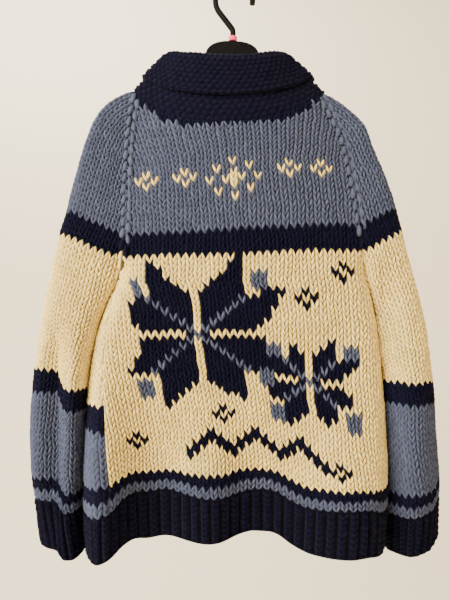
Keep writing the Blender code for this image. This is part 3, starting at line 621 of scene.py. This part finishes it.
# stars, counted in stitches and rows from their middles: each navy petal is the four-sided
# shape from the middle along one slit to its tip and back by its inner corner; slits are
# ivory lines, spokes blue diagonals and blocks blue
petalNames = "slitColumn slitRow tipColumn tipRow cornerColumn cornerRow"
blockNames = "column row width height"
bigStar = {
    "column": -6, "strand": 42, "slit": 7, "spoke": 6,
    "petals": columnsOf(
        petalNames,
        (0, -6.5, 6.4, -13.6, 6.4, -7.0),
        (0, -6.5, -5.6, -13.0, -5.6, -6.4),
        (0, 7.6, 6.0, 12.6, 5.6, 6.2),
        (0, 7.6, -5.6, 12.8, -5.8, 6.4),
        (7.4, 0, 11.6, -7.4, 6.4, -6.6),
        (-6.6, 0, -8.6, -2.4, -8.4, -5.5),
        (-8.4, -5.5, -7.0, -6.4, -6.0, -6.0),
        (7.4, 0, 12.4, 7.6, 6.0, 5.8),
        (-6.6, 0, -9.6, 7.0, -6.0, 6.6),
    ),
    "blocks": columnsOf(blockNames, (-7, -8, 1, 3), (8, -9, 2, 3), (-8, 9, 2, 3), (8, 7, 2, 3)),
}
smallStar = {
    "column": 8, "strand": 49, "slit": 4, "spoke": 3,
    "petals": columnsOf(
        petalNames,
        (0, -3.6, 3.4, -6.6, 3.2, -3.4),
        (0, -3.6, -2.8, -6.4, -3.0, -3.4),
        (0, 4.2, 2.6, 7.4, 3.2, 4.0),
        (0, 4.2, -3.0, 7.4, -3.2, 4.0),
        (4.0, 0, 6.4, -3.4, 3.6, -3.4),
        (-4.0, 0, -6.6, -3.6, -3.6, -3.4),
        (4.0, 0, 6.4, 3.8, 3.6, 3.8),
        (-4.0, 0, -6.0, 3.8, -3.6, 3.8),
    ),
    "blocks": columnsOf(blockNames, (-5, -5, 2, 2), (5, -5, 2, 2), (-5, 6, 2, 3), (5, 6, 2, 3)),
}
# each small diamond is four stitches round one
diamonds = {
    navy: ((13, 32), (8, 36), (-4, 56), (-16, 60), (11, 63)),
    ivory: ((-11, 15), (-6, 15), (7, 15), (11, 15)),
}
# the yoke's flake: columns and rows from its middle stitch
yokeFlake = {"column": 0, "strand": 16, "stitches": (
    (0, -3), (0, -1), (0, 0), (0, 1), (0, 3), (-3, 0), (-1, 0), (1, 0), (3, 0),
    (-2, -2), (2, -2), (-2, 2), (2, 2),
)}
# a plain zigzag border fills the strip below the stars
zigzag = {"fromColumn": -9, "toColumn": 9, "strand": 59, "period": 6, "thickness": 2}


def stripes(strand, bands):
    yarn = np.full(strand.shape, bands[-1][1])
    for end, own in reversed(bands[:-1]):
        yarn[strand < end] = own
    return yarn


# inside a four-sided shape: the turns at its corners all go one way
def insideShape(x, y, corners):
    sides = []
    for (ax, ay), (bx, by) in zip(corners, corners[1:] + corners[:1]):
        sides.append((bx - ax) * (y - ay) - (by - ay) * (x - ax))
    sides = np.array(sides)
    return (sides >= 0).all(axis=0) | (sides <= 0).all(axis=0)


def addStar(yarn, column, strand, star):
    x, y = column - star["column"], strand - star["strand"]
    petals, blocks = star["petals"], star["blocks"]
    for index in range(len(petals["tipRow"])):
        corners = [(0.0, 0.0)]
        for label in ("slit", "tip", "corner"):
            corners.append((petals[label + "Column"][index], petals[label + "Row"][index]))
        yarn[insideShape(x, y, corners)] = navy
    x, y = np.abs(x), np.abs(y)
    onSlit = (x == 0) & (y > 0) | (y == 0) & (x > 1)
    yarn[onSlit & (x + y <= star["slit"])] = ivory
    yarn[(x == y) & (x <= star["spoke"])] = blue
    for index in range(len(blocks["row"])):
        width, height = blocks["width"][index], blocks["height"][index]
        fromLeft = column - star["column"] - blocks["column"][index] + (width - 1) // 2
        fromTop = strand - star["strand"] - blocks["row"][index] + (height - 1) // 2
        yarn[(fromLeft >= 0) & (fromLeft < width) & (fromTop >= 0) & (fromTop < height)] = blue


def addMotifs(yarn, column, strand):
    addStar(yarn, column, strand, bigStar)
    addStar(yarn, column, strand, smallStar)
    for own, middles in diamonds.items():
        for middleColumn, middleStrand in middles:
            distance = np.abs(column - middleColumn) + np.abs(strand - middleStrand)
            yarn[distance == 1] = own
    for across, down in yokeFlake["stitches"]:
        yarn[(column == yokeFlake["column"] + across) & (strand == yokeFlake["strand"] + down)] = ivory
    phase = np.mod(column - zigzag["fromColumn"], zigzag["period"])
    fromWave = strand - zigzag["strand"] - np.abs(phase - zigzag["period"] // 2)
    inStrip = (column >= zigzag["fromColumn"]) & (column <= zigzag["toColumn"])
    yarn[inStrip & (fromWave >= 0) & (fromWave < zigzag["thickness"])] = navy


# navy above the neck edge, found from the place of each column at that row, and lowest
# halfway to each side
def addNeck(yarn, column, strand, edges, neck):
    row = np.full(column.shape, 3.0)
    for _ in range(8):
        low, high = edges[0](row), edges[1](row)
        share = np.clip((column + 0.5 - low) / (high - low), 0, 1)
        row = neck(share, row)
    towardsMiddle = 4 * share * (1 - share)
    yarn[strand + 0.5 < row + 4 * towardsMiddle * (1 - towardsMiddle)] = navy


# a shader socket that takes part in Python sums, each of which adds a Math node
class Socket:
    def __init__(self, finish, link):
        self.finish, self.link = finish, link

    def maths(self, operation, first, second):
        return self.finish.node("Math", {"operation": operation}, {0: first, 1: second})

    def __add__(self, other):
        return self.maths("ADD", self, other)

    __radd__ = __add__

    def __rsub__(self, other):
        return self.maths("SUBTRACT", other, self)

    def __mul__(self, other):
        return self.maths("MULTIPLY", self, other)

    __rmul__ = __mul__


# a material whose nodes are added one by one, on a shader with fixed values
class Finish:
    def __init__(self, name, **fixed):
        self.material = bpy.data.materials.new(name)
        self.material.use_nodes = True
        self.tree = self.material.node_tree
        self.shader = self.tree.nodes["Principled BSDF"]
        for label, value in fixed.items():
            self.shader.inputs[label.replace("_", " ")].default_value = value

    # settings first, then each socket's value or link, by its name or number
    def node(self, kind, settings, sockets, output=0):
        node = self.tree.nodes.new("ShaderNode" + kind)
        for label, value in settings.items():
            setattr(node, label, value)
        for label, value in sockets.items():
            if isinstance(value, Socket):
                self.tree.links.new(value.link, node.inputs[label])
            else:
                node.inputs[label].default_value = value
        return Socket(self, node.outputs[output])

    def noise(self, place, scale, detail, roughness=0.5):
        sockets = {"Vector": place, "Scale": scale, "Detail": detail, "Roughness": roughness}
        return self.node("TexNoise", {}, sockets)

    def mixed(self, blend, share, first, second):
        settings = {"data_type": "RGBA", "blend_type": blend}
        return self.node("Mix", settings, {0: share, 6: first, 7: second}, output=2)

    def feed(self, label, value):
        self.tree.links.new(value.link, self.shader.inputs[label])

    def feedBump(self, strength, distance, height):
        sockets = {"Strength": strength, "Distance": distance, "Height": height}
        self.feed("Normal", self.node("Bump", {}, sockets))


wool = {
    "roughness": 0.95, "specular": 0.07, "sheen": 0.02, "sheenRoughness": 0.6,
    # how much painted shade darkens the colour in the gaps
    "gapPaintedShade": 0.86, "lightness": 1.02,
    "fibreScale": (5.0, 22.0, 1.0),  # repeats in a stitch across and along the strand
    "mottleScale": 260.0, "broadScale": 9.0,
    "fineLight": 0.80, "fibreShade": 0.26, "mottleShade": 0.16,
    "broadLight": 0.94, "broadShade": 0.12,
    "fuzz": 0.35, "fuzzHeight": 0.0012, "fuzzFibres": 0.7, "fuzzMottle": 0.3,
}


# wool: the stitch's own yarn colour with painted shade in the gaps, darker by their square, mottled by
# fibres along the strand and two noises, with the fibres as a bump
def woolFinish(name):
    finish = Finish(name, Roughness=wool["roughness"], Specular_IOR_Level=wool["specular"],
                    Sheen_Weight=wool["sheen"], Sheen_Roughness=wool["sheenRoughness"])
    knitPlace = finish.node("UVMap", {"uv_map": "knit"}, {})
    yarn = finish.node("Attribute", {"attribute_name": "yarn"}, {})
    gapShade = finish.node("Attribute", {"attribute_name": "gapShade"}, {}, output=2)
    place = finish.node("TexCoord", {}, {}, output=3)
    stretched = finish.node("Mapping", {}, {"Vector": knitPlace, "Scale": wool["fibreScale"]})
    fibres = finish.noise(stretched, 1.0, 3.0, 0.6)
    mottle = finish.noise(place, wool["mottleScale"], 2.0)
    broad = finish.noise(place, wool["broadScale"], 2.0)
    # painted shade: the colour is darkened in the gaps between the grains, where shade falls
    light = wool["lightness"] - gapShade * gapShade * wool["gapPaintedShade"]
    light = light * (wool["fineLight"] + fibres * wool["fibreShade"] + mottle * wool["mottleShade"])
    light = light * (wool["broadLight"] + broad * wool["broadShade"])
    grey = finish.node("CombineColor", {}, {"Red": light, "Green": light, "Blue": light})
    finish.feed("Base Color", finish.mixed("MULTIPLY", 1.0, yarn, grey))
    height = fibres * wool["fuzzFibres"] + mottle * wool["fuzzMottle"]
    finish.feedBump(wool["fuzz"], wool["fuzzHeight"], height)
    return finish.material


plastic = {
    "black": (0.0036, 0.0037, 0.0041), "blackRoughness": 0.46,
    "pink": (0.90, 0.09, 0.20), "pinkRoughness": 0.42,
    "specular": 0.06, "scuffs": 0.2, "scuffScale": 38.0, "scuffLight": 1.5, "scuffDust": 0.004,
    "gloss": 0.22, "glossFrom": -0.08,
    "grainScale": 900.0, "grain": 0.12, "grainHeight": 0.0004,
}


# moulded plastic: a slightly uneven gloss and faint scuffs, half as light again
def plasticFinish(colour):
    finish = Finish(colour + " plastic", Specular_IOR_Level=plastic["specular"])
    place = finish.node("TexCoord", {}, {}, output=3)
    worn = finish.noise(place, plastic["scuffScale"], 6.0, 0.7)
    grain = finish.noise(place, plastic["grainScale"], 1.0)
    light, dust = plastic["scuffLight"], plastic["scuffDust"]
    pale = tuple(min(1.0, part * light + dust) for part in plastic[colour])
    scuffed = finish.mixed("MIX", worn * plastic["scuffs"], (*plastic[colour], 1), (*pale, 1))
    finish.feed("Base Color", scuffed)
    gloss = plastic[colour + "Roughness"] + plastic["glossFrom"] + worn * plastic["gloss"]
    finish.feed("Roughness", gloss)
    finish.feedBump(plastic["grain"], plastic["grainHeight"], grain)
    return finish.material


sheets = {
    "back": layOut(bodyPoint, lambda row: seamAngle(row) + 1e-6, lambda row: 2 * math.pi,
                   knit["bodyEndRow"], -1),
    "front": layOut(bodyPoint, lambda row: 0.0, seamAngle, knit["bodyEndRow"], -1),
}
for side, own, flip in (("left", leftSleeve, 1), ("right", rightSleeve, -1)):
    sheets[side] = layOut(lambda angle, row: sleevePoint(angle, row, own), sleeveOpening,
                          lambda row: 2 * math.pi - sleeveOpening(row),
                          knit["cuffEndRow"], flip, tubeFrom=knit["underarmRow"])
print("sheets laid out")


# the row where a panel stops at the neck, from the angle at that place: deepest in the
# middle as 1 - |cos(angle)|^power, and 0 at the raglan seams
def neckRow(side, depth, power):
    def neck(share, row):
        angle = sampled(sheets[side], "angles", share, row)
        return depth * (1 - np.abs(np.cos(angle)) ** power)
    return neck


necks = {
    "back": neckRow("back", depth=6.5, power=2.0),
    "front": neckRow("front", depth=17.0, power=1.2),
}


# the row of the neck edge at each place across, and 0 on a sleeve
def neckEdge(side, share):
    row = np.zeros(share.shape)
    for _ in range(6):
        row = necks[side](share, row) if side in necks else row
    return row


panelRows, hemRows = (0.0, knit["bodyRibRow"]), (knit["bodyRibRow"], knit["bodyEndRow"])
sleeveRows, cuffRows = (0.0, knit["cuffRibRow"]), (knit["cuffRibRow"], knit["cuffEndRow"])
parts = {
    "back": {
        "side": "back", "rows": panelRows, "bands": backBands, "seed": 11, "wallEvery": 4,
        "stitchWidth": 0.01094, "columnShift": 0.9,
    },
    "front": {
        "side": "front", "rows": panelRows, "bands": frontBands, "seed": 23, "wallEvery": 2, "perHalf": 3,
        "stitchWidth": 0.0110,
    },
    "sleeve_left": {
        "side": "left", "rows": sleeveRows, "bands": sleeveBands, "seed": 31, "stitchWidth": 0.0100,
    },
    "cuff_left": {"side": "left", "rows": cuffRows, "seed": 34, "ribs": 20},
    "sleeve_right": {
        "side": "right", "rows": sleeveRows, "bands": sleeveBands, "seed": 43, "stitchWidth": 0.0100,
    },
    "cuff_right": {"side": "right", "rows": cuffRows, "seed": 46, "ribs": 20},
    "back_hem_rib": {"side": "back", "rows": hemRows, "seed": 53, "ribs": 30},
    "front_hem_rib": {"side": "front", "rows": hemRows, "seed": 61, "ribs": 38},
}


# stitches in each row of a piece: below the underarm a panel's grow a little every row,
# and towards the neck they are fewer and wider, so that the wales fan out
def stitchCounts(part, sheet):
    rows, lengths, underarm = sheet["rows"], sheet["lengths"], knit["underarmRow"]
    if "ribs" in part:
        return np.full(rows.shape, float(part["ribs"]))
    counts = lengths / part["stitchWidth"]
    if part["side"] not in necks:
        return counts
    wider = 1 + knit["widening"] * (np.clip(rows, underarm, knit["wideningEnd"]) - underarm)
    fan = 1 + knit["fan"] * (1 - ease(rows, 0.0, knit["fanRows"]))
    return np.where(rows < underarm, counts / fan, np.interp(underarm, rows, counts) * wider)


def makePart(node, part, finish):
    sheet, neck = sheets[part["side"]], necks.get(part["side"])
    counts, shift = stitchCounts(part, sheet), part.get("columnShift", 0.0)
    edges = [lambda row, way=way: np.interp(row, sheet["rows"], way * counts / 2 + shift) for way in (-1, 1)]
    firstRow = part["rows"][0]

    # the first row knitted: the panels' a little above the neck edge, under the collar
    def topRow(share, row):
        return np.maximum(firstRow, neck(share, row) - knit["underCollar"]) if neck else firstRow

    def yarnOf(column, strand):
        yarn = stripes(strand, part.get("bands", ((99, navy),)))
        if node == "back":
            addMotifs(yarn, column, strand)
        if neck:
            addNeck(yarn, column, strand, edges, neck)
        return yarn

    look = {**(ribKnit if "ribs" in part else plainKnit), **part, "topRow": topRow}
    name = node.replace("_rib", "") + "_knit"
    return knitPiece(name, sheet, edges, part["rows"], yarnOf, finish, look)


collar = {
    "path": columnsOf(
        "station share offset fall",
        (0, 0.0, -0.0008, 0.0), (1, 0.22, 0.003, 0.0), (2, 0.45, 0.001, 0.0),
        (3, 0.72, -0.001, 0.0), (4, 0.94, 0.0, 0.0), (5, 1.0, 0.005, 0.0), (6, 0.94, 0.0105, 0.1),
        (7, 0.8, 0.0108, 0.35), (8, 0.6, 0.01, 0.68), (9, 0.4, 0.0088, 1.0),
    ),
    "foldStation": 5.0, "foldShare": 0.97,
    "neckHalfWidth": 0.132, "neckHalfDepth": 0.030, "neckSmoothing": 7,
    "ringX": -0.0112, "ringHalfWidth": 0.0764, "ringNear": -0.0290, "ringFar": 0.0260,
    "ringBack": -0.1185, "ringSide": -0.1035, "ringFront": -0.1220,
    "lift": -0.0015, "sideShare": 0.78, "outwardX": 0.6, "outwardZ": 0.25, "wall": 0.0056,
    "fallBack": 0.42, "fallSide": 0.38, "fallFront": 0.12, "notch": 0.50, "notchAngle": 0.30,
    "ridgePitch": 0.0078, "ridgeHeight": 0.0034, "ridgePower": 0.8,
    "bumpPitch": 0.0112, "bumpiness": 0.38, "sway": 0.21,
    "perRidge": 5, "perBump": 5,
    # unevenness of hand knitting: how much, over how many bumps, and its seed
    "ridgeNoise": (0.16, 2.1, 71), "bumpNoise": (0.14, 1.6, 72),
    "heightNoise": (0.20, 1.3, 73), "lumpNoise": (0.0012, 5.3, 74),
}


# the middle of the wall along the neck edge, round the back, the right sleeve, the front
# and the left sleeve, smoothed with the weights exp(-(distance/smoothing)^2)
def neckLoop(each=240, total=600):
    lines = []
    for side in ("back", "right", "front", "left"):
        share = np.linspace(0.0, 1.0, each + 1)[:-1]
        if side == "left":
            share = 1 - share
        row = neckEdge(side, share)
        inward = sampled(sheets[side], "normals", share, row) * knit["wall"] / 2
        lines.append(sampled(sheets[side], "points", share, row) - inward)
    closed = np.concatenate(lines + [lines[0][:1]])
    away = distances(closed)
    even = pointsAt(np.linspace(0.0, away[-1], total + 1)[:-1], away, closed)
    reach = 2 * collar["neckSmoothing"]
    weights = np.exp(-(np.arange(-reach, reach + 1) / collar["neckSmoothing"]) ** 2)
    padded = np.concatenate((even[-reach:], even, even[:reach]))
    smooth = [np.convolve(padded[:, axis], weights / weights.sum(), mode="valid") for axis in range(3)]
    return np.stack(smooth, axis=-1), away[-1]


# the collar's middle sheet: from the neck edge to the top ring and over its outer side.
# A point is base + (ring - base) * share + outward * offset, share and offset following
# the path; round it, the angle sets the ring and how far the fold-over falls.
def collarSheet(neck, path):
    angle = np.arctan2(neck[:, 1] / collar["neckHalfDepth"],
                       (neck[:, 0] - collar["ringX"]) / collar["neckHalfWidth"])
    sine, cosine = np.sin(angle), np.cos(angle)
    near = sine < 0

    # a value round the neck: its side's, and its back's or front's by sine^2
    def around(side, back, front):
        return collar[side] + (np.where(near, collar[back], collar[front]) - collar[side]) * sine ** 2

    ringY = np.where(near, -collar["ringNear"], collar["ringFar"]) * sine
    ringZ = around("ringSide", "ringBack", "ringFront")
    ring = np.stack((collar["ringX"] + collar["ringHalfWidth"] * cosine, ringY, ringZ), axis=-1)
    base = neck + unit(ring - neck) * collar["lift"]
    outward = np.stack((cosine * collar["outwardX"], sine, np.full(sine.shape, collar["outwardZ"])), axis=-1)
    outward = unit(outward) * (collar["sideShare"] + (1 - collar["sideShare"]) * sine ** 2)[:, None]
    toFront = np.abs(np.mod(angle + math.pi / 2, 2 * math.pi) - math.pi)
    edge = around("fallSide", "fallBack", "fallFront")
    edge = edge + collar["notch"] * np.clip(1 - toFront / collar["notchAngle"], 0.0, 1.0)
    share, offset, fall = (
        along(path, collar["path"], label, key="station")[:, None] for label in ("share", "offset", "fall"))
    falling = ease(path, collar["foldStation"], collar["foldStation"] + 1)[:, None]
    fallen = collar["foldShare"] + (edge - collar["foldShare"]) * np.maximum(fall, 0)
    share = share * (1 - falling) + fallen * falling
    return base + (ring - base) * share[..., None] + outward * offset[..., None]


# garter ridges run round the collar: height is |sin(pi * phase)|^ridgePower where the phase sways
# by cos(2 pi * bump) * cos(pi * ridge), so that the bumps of each ridge lie between the next one's
def makeCollar(finish):
    neck, around = neckLoop()
    stations = np.linspace(0.0, collar["path"]["station"][-1], 361)
    away = distances(collarSheet(neck[::12], stations))
    perRidge, perBump = collar["perRidge"], collar["perBump"]
    bumps = round(around / collar["bumpPitch"])
    lines, columns = round(away[-1] / collar["ridgePitch"]) * perRidge + 1, bumps * perBump
    path = np.interp(np.linspace(0.0, away[-1], lines), away, stations)
    closed = np.concatenate((neck, neck[:1]))
    smooth = pointsAt(np.arange(columns) * len(neck) / columns, np.arange(len(closed)), closed)
    sheet = collarSheet(smooth, path)
    acrossStep = np.roll(sheet, -1, axis=1) - np.roll(sheet, 1, axis=1)
    normals = unit(np.cross(acrossStep, np.gradient(sheet, axis=0)))
    ridge, bump = np.meshgrid(np.arange(lines) / perRidge, np.arange(columns) / perBump, indexing="ij")
    fade = np.clip(np.minimum(bump, bumps - bump) / 2, 0, 1)

    def uneven(amount, size, seed):
        return amount * fade * softNoise(bump, ridge, size, seed)

    swayed = ridge + uneven(*collar["ridgeNoise"])
    turned = 2 * math.pi * (bump + uneven(*collar["bumpNoise"]))
    phase = swayed + collar["sway"] * np.cos(turned) * np.cos(math.pi * swayed)
    lobes = 1 - collar["bumpiness"] + collar["bumpiness"] * np.cos(turned) * np.sin(math.pi * swayed)
    shown = np.abs(np.sin(math.pi * phase)) ** collar["ridgePower"] * lobes
    relief = collar["ridgeHeight"] * (shown * (1 + uneven(*collar["heightNoise"])) - 0.5)
    thick = normals * (collar["wall"] / 2 + relief + uneven(*collar["lumpNoise"]))[..., None]
    places = np.concatenate(((sheet + thick).reshape(-1, 3), (sheet - thick).reshape(-1, 3)))
    index = np.arange(lines * columns).reshape(lines, columns)
    outer = ringFaces(index)
    top, end = (ringFaces(np.stack((line, line + index.size))) for line in index[[0, -1]])
    faces = np.concatenate((outer, outer[:, ::-1] + index.size, top[:, [0, 3, 2, 1]], end))
    corners = faces.ravel()
    # depth here is painted shade in the valleys between the collar's ridges
    across, down, depth = (np.tile(values.ravel(), 2)[corners] for values in (bump, ridge, 1 - shown))
    colours = np.broadcast_to((*yarns["navy"], 1.0), (len(corners), 4))
    piece = addCloth("collar_knit", places, corners, np.full(len(faces), 4),
                     np.stack((across, down), axis=-1), colours, depth, finish)
    return piece, (around, float(away[-1]))


raglan = {
    "firstRow": 0.6,
    "lastRow": 32.0,
    "pitchRows": 2.0,  # rows between the long decrease stitches
    "halfLength": 0.52,  # of a stitch, in pitches
    "halfWidth": 0.0039,
    "halfHeight": 0.0042,
    "lift": -0.0001,
    "apart": 0.0041,  # half the distance of the two chains
    "lean": 0.16,
    "leanChange": 0.05,
    "swell": 0.15,  # how much thicker a stitch is at its lower end
    "bluntness": 2.2,
    "taper": 0.6,
    "sizes": (0.90, 1.12),
    "shades": (0.92, 1.06),
    "sides": 8,
    "rings": 9,
}


# the decrease stitches on a raglan seam: two chains of long plump stitches. Each is a
# turned shape of radius (1 - |u|^bluntness)^taper round its length u, in the seam's own frame
def makeRaglan(name, sheet, share, towardsPanel, finish, seed):
    rows = np.arange(raglan["firstRow"], raglan["lastRow"], raglan["pitchRows"] / 2)
    chain = np.where(np.arange(len(rows)) % 2 == 0, -1.0, 1.0)
    edge = np.full(rows.shape, share)
    upper, middle, lower = (sampled(sheet, "points", edge, rows + step) for step in (-0.5, 0.0, 0.5))
    down = lower - upper
    pitch = np.linalg.norm(down, axis=1) * raglan["pitchRows"]
    down = unit(down)
    normal = sampled(sheet, "normals", edge, rows)
    normal = unit(normal - (normal * down).sum(axis=1, keepdims=True) * down)
    side = np.cross(normal, down) * (1 - 2 * share)
    random = np.random.default_rng(seed)
    size = random.uniform(*raglan["sizes"], (len(rows), 1, 1))
    change = random.uniform(-raglan["leanChange"], raglan["leanChange"], len(rows))
    lean = (raglan["lean"] * chain + change)[:, None, None]
    turn = np.linspace(0, 2 * math.pi, raglan["sides"] + 1)[:-1]
    u = np.linspace(-1, 1, raglan["rings"])[:, None]
    radius = (1 - np.abs(u) ** raglan["bluntness"]) ** raglan["taper"]
    radius[[0, -1]] = 0.0
    swell = radius * size * (1 + raglan["swell"] * u)
    length = u * (pitch * raglan["halfLength"])[:, None, None] + 0 * turn
    across = swell * np.cos(turn) * raglan["halfWidth"] + lean * length
    height = swell * np.sin(turn) * raglan["halfHeight"] + raglan["lift"]
    centre = middle + side * ((chain + towardsPanel) * raglan["apart"])[:, None]
    places = (centre[:, None, None] + down[:, None, None] * length[..., None]
              + side[:, None, None] * across[..., None] + normal[:, None, None] * height[..., None])
    one = ringFaces(np.arange(u.size * turn.size).reshape(u.size, turn.size))
    corners = (one + np.arange(len(rows))[:, None, None] * u.size * turn.size).ravel()
    shade = yarnShades[stripes(np.floor(rows), seamBands)]
    shade = opaque(shade * random.uniform(*raglan["shades"], (len(rows), 1))).repeat(one.size, axis=0)
    # painted shade: each raglan stitch darker down its sides and at its ends, away from its top
    fromTop = np.broadcast_to(1 - np.clip(np.sin(turn), 0, 1) * radius, length.shape)
    spot = np.stack(np.broadcast_arrays(turn / 2, u + 0 * length), axis=-1)
    return addCloth(name, places.reshape(-1, 3), corners, np.full(len(corners) // 4, 4),
                    spot.reshape(-1, 2)[corners], shade, fromTop.ravel()[corners], finish)


woolMaterial = woolFinish("hand spun wool")
pieces = {node: makePart(node, part, woolMaterial) for node, part in parts.items()}
pieces["collar"], collarFlat = makeCollar(woolMaterial)
chains = {"left": [], "right": []}
for name, share, towardsPanel, seed in (
        ("back_left", 0.0, 1, 81), ("front_left", 1.0, 1, 82),
        ("back_right", 1.0, -1, 83), ("front_right", 0.0, 1, 84)):
    panel, side = name.split("_")
    chain = makeRaglan("raglan_" + name, sheets[panel], share, towardsPanel, woolMaterial, seed)
    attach(chain, "root")
    chains[side].append(chain)
for node, piece in pieces.items():
    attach(piece, "root")
    "ivory_wool" if "stitchWidth" in parts.get(node, {}) else "navy_wool"
    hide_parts(node)
print("garment knitted")


# the cut size of a knitted piece: its longest row by its length down the middle, and
# its area as the sum of its strips
def cutSize(side, rows):
    sheet = sheets[side]
    low, high = (int(row / sheet["rowStep"]) for row in rows)
    lengths = np.linalg.norm(np.diff(sheet["points"][low:high + 1], axis=0), axis=-1)
    start = neckEdge(side, np.linspace(0.0, 1.0, sheet["steps"] + 1))
    stations = sheet["rows"][low:high, None]
    kept = np.clip((stations - start) / sheet["rowStep"] + 1, 0, 1) * lengths
    width = sheet["lengths"][low:high + 1]
    area = (kept.mean(axis=1) * (width[:-1] + width[1:]) / 2).sum()
    return (float(width.max()), float(kept.sum(axis=0).max())), float(area)


# the plain pieces first, then the ribs
for node in sorted(parts, key=lambda node: "ribs" in parts[node]):
    part = parts[node]
    flat, area = cutSize(part["side"], part["rows"])
    area = min(area, flat[0] * flat[1])
    print(node, "flat", [round(value, 3) for value in flat], "area", round(area, 4))
print("collar flat", [round(value, 3) for value in collarFlat])

finishes = {name: plasticFinish(name) for name in ("black", "pink")}
for node, name in (("hanger_body", "black"), ("hanger_hook", "black"), ("hanger_ring", "pink")):
    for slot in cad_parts[node].material_slots:
        slot.material = finishes[name]

studio = {
    "floorZ": -1.60, "floorRadius": 2.6, "coveRadius": 1.4, "wallTop": 5.5,
    "paint": (0.94, 0.86, 0.69), "sky": (1.0, 0.955, 0.88), "skyStrength": 0.80,
    # each lamp's name, place, target, size, watts and colour
    "lamps": (
        ("key", (-1.35, -1.10, 0.25), (0.0, 0.0, -0.42), 1.4, 100.0, (1.0, 0.94, 0.85)),
        ("fill", (1.5, -1.7, -0.2), (0.0, 0.0, -0.45), 1.6, 4.0, (1.0, 0.96, 0.90)),
        ("wall", (-0.8, 1.4, 2.6), (-1.6, 4.0, 0.4), 1.6, 210.0, (1.0, 0.96, 0.88)),
    ),
}


# floor, cove and wall as one turned profile: flat, a quarter circle, then upright
def makeStage():
    bend = np.linspace(0.0, math.pi / 2, 13)
    cove = studio["floorRadius"] + studio["coveRadius"] * np.sin(bend)
    radii = np.concatenate(([0.001], cove, [studio["floorRadius"] + studio["coveRadius"]]))
    heights = np.concatenate(([0.0], studio["coveRadius"] * (1 - np.cos(bend)), [studio["wallTop"]]))
    turn = np.linspace(0.0, 2 * math.pi, 97)[:-1]
    x, y = radii[:, None] * np.cos(turn), radii[:, None] * np.sin(turn)
    z = np.broadcast_to(studio["floorZ"] + heights[:, None], x.shape)
    faces = ringFaces(np.arange(x.size).reshape(x.shape))
    mesh = bpy.data.meshes.new("floor")
    mesh.from_pydata(np.stack((x, y, z), axis=-1).reshape(-1, 3).tolist(), [], faces.tolist())
    mesh.shade_smooth()
    mesh.materials.append(Finish("pale paint", Roughness=0.9, Base_Color=(*studio["paint"], 1)).material)
    addObject("floor", mesh)


def makeLamps():
    for name, place, target, size, power, colour in studio["lamps"]:
        light = bpy.data.lights.new(name, "AREA")
        light.size, light.energy, light.color = size, power, colour
        lamp = addObject(name, light)
        lamp.location = place
        x, y, z = np.array(target) - np.array(place)
        lamp.rotation_euler = (math.atan2(math.hypot(x, y), -z), 0.0, math.atan2(-x, y))
    world = bpy.data.worlds.new("studio")
    world.use_nodes = True
    background = world.node_tree.nodes["Background"]
    background.inputs["Color"].default_value = (*studio["sky"], 1)
    background.inputs["Strength"].default_value = studio["skyStrength"]
    bpy.context.scene.world = world


camera = {"place": (-0.01349, -0.69, -0.4465), "focalPixels": 486.0, "imageHeight": 600.0, "sensor": 36.0}


def makeCamera():
    lens = bpy.data.cameras.new("camera")
    lens.sensor_width = camera["sensor"]
    lens.lens = camera["focalPixels"] / camera["imageHeight"] * camera["sensor"]
    view = addObject("camera", lens)
    view.location = camera["place"]
    view.rotation_euler = (math.pi / 2, 0.0, 0.0)
    bpy.context.scene.camera = view


makeStage()
makeLamps()
makeCamera()
print("studio set")
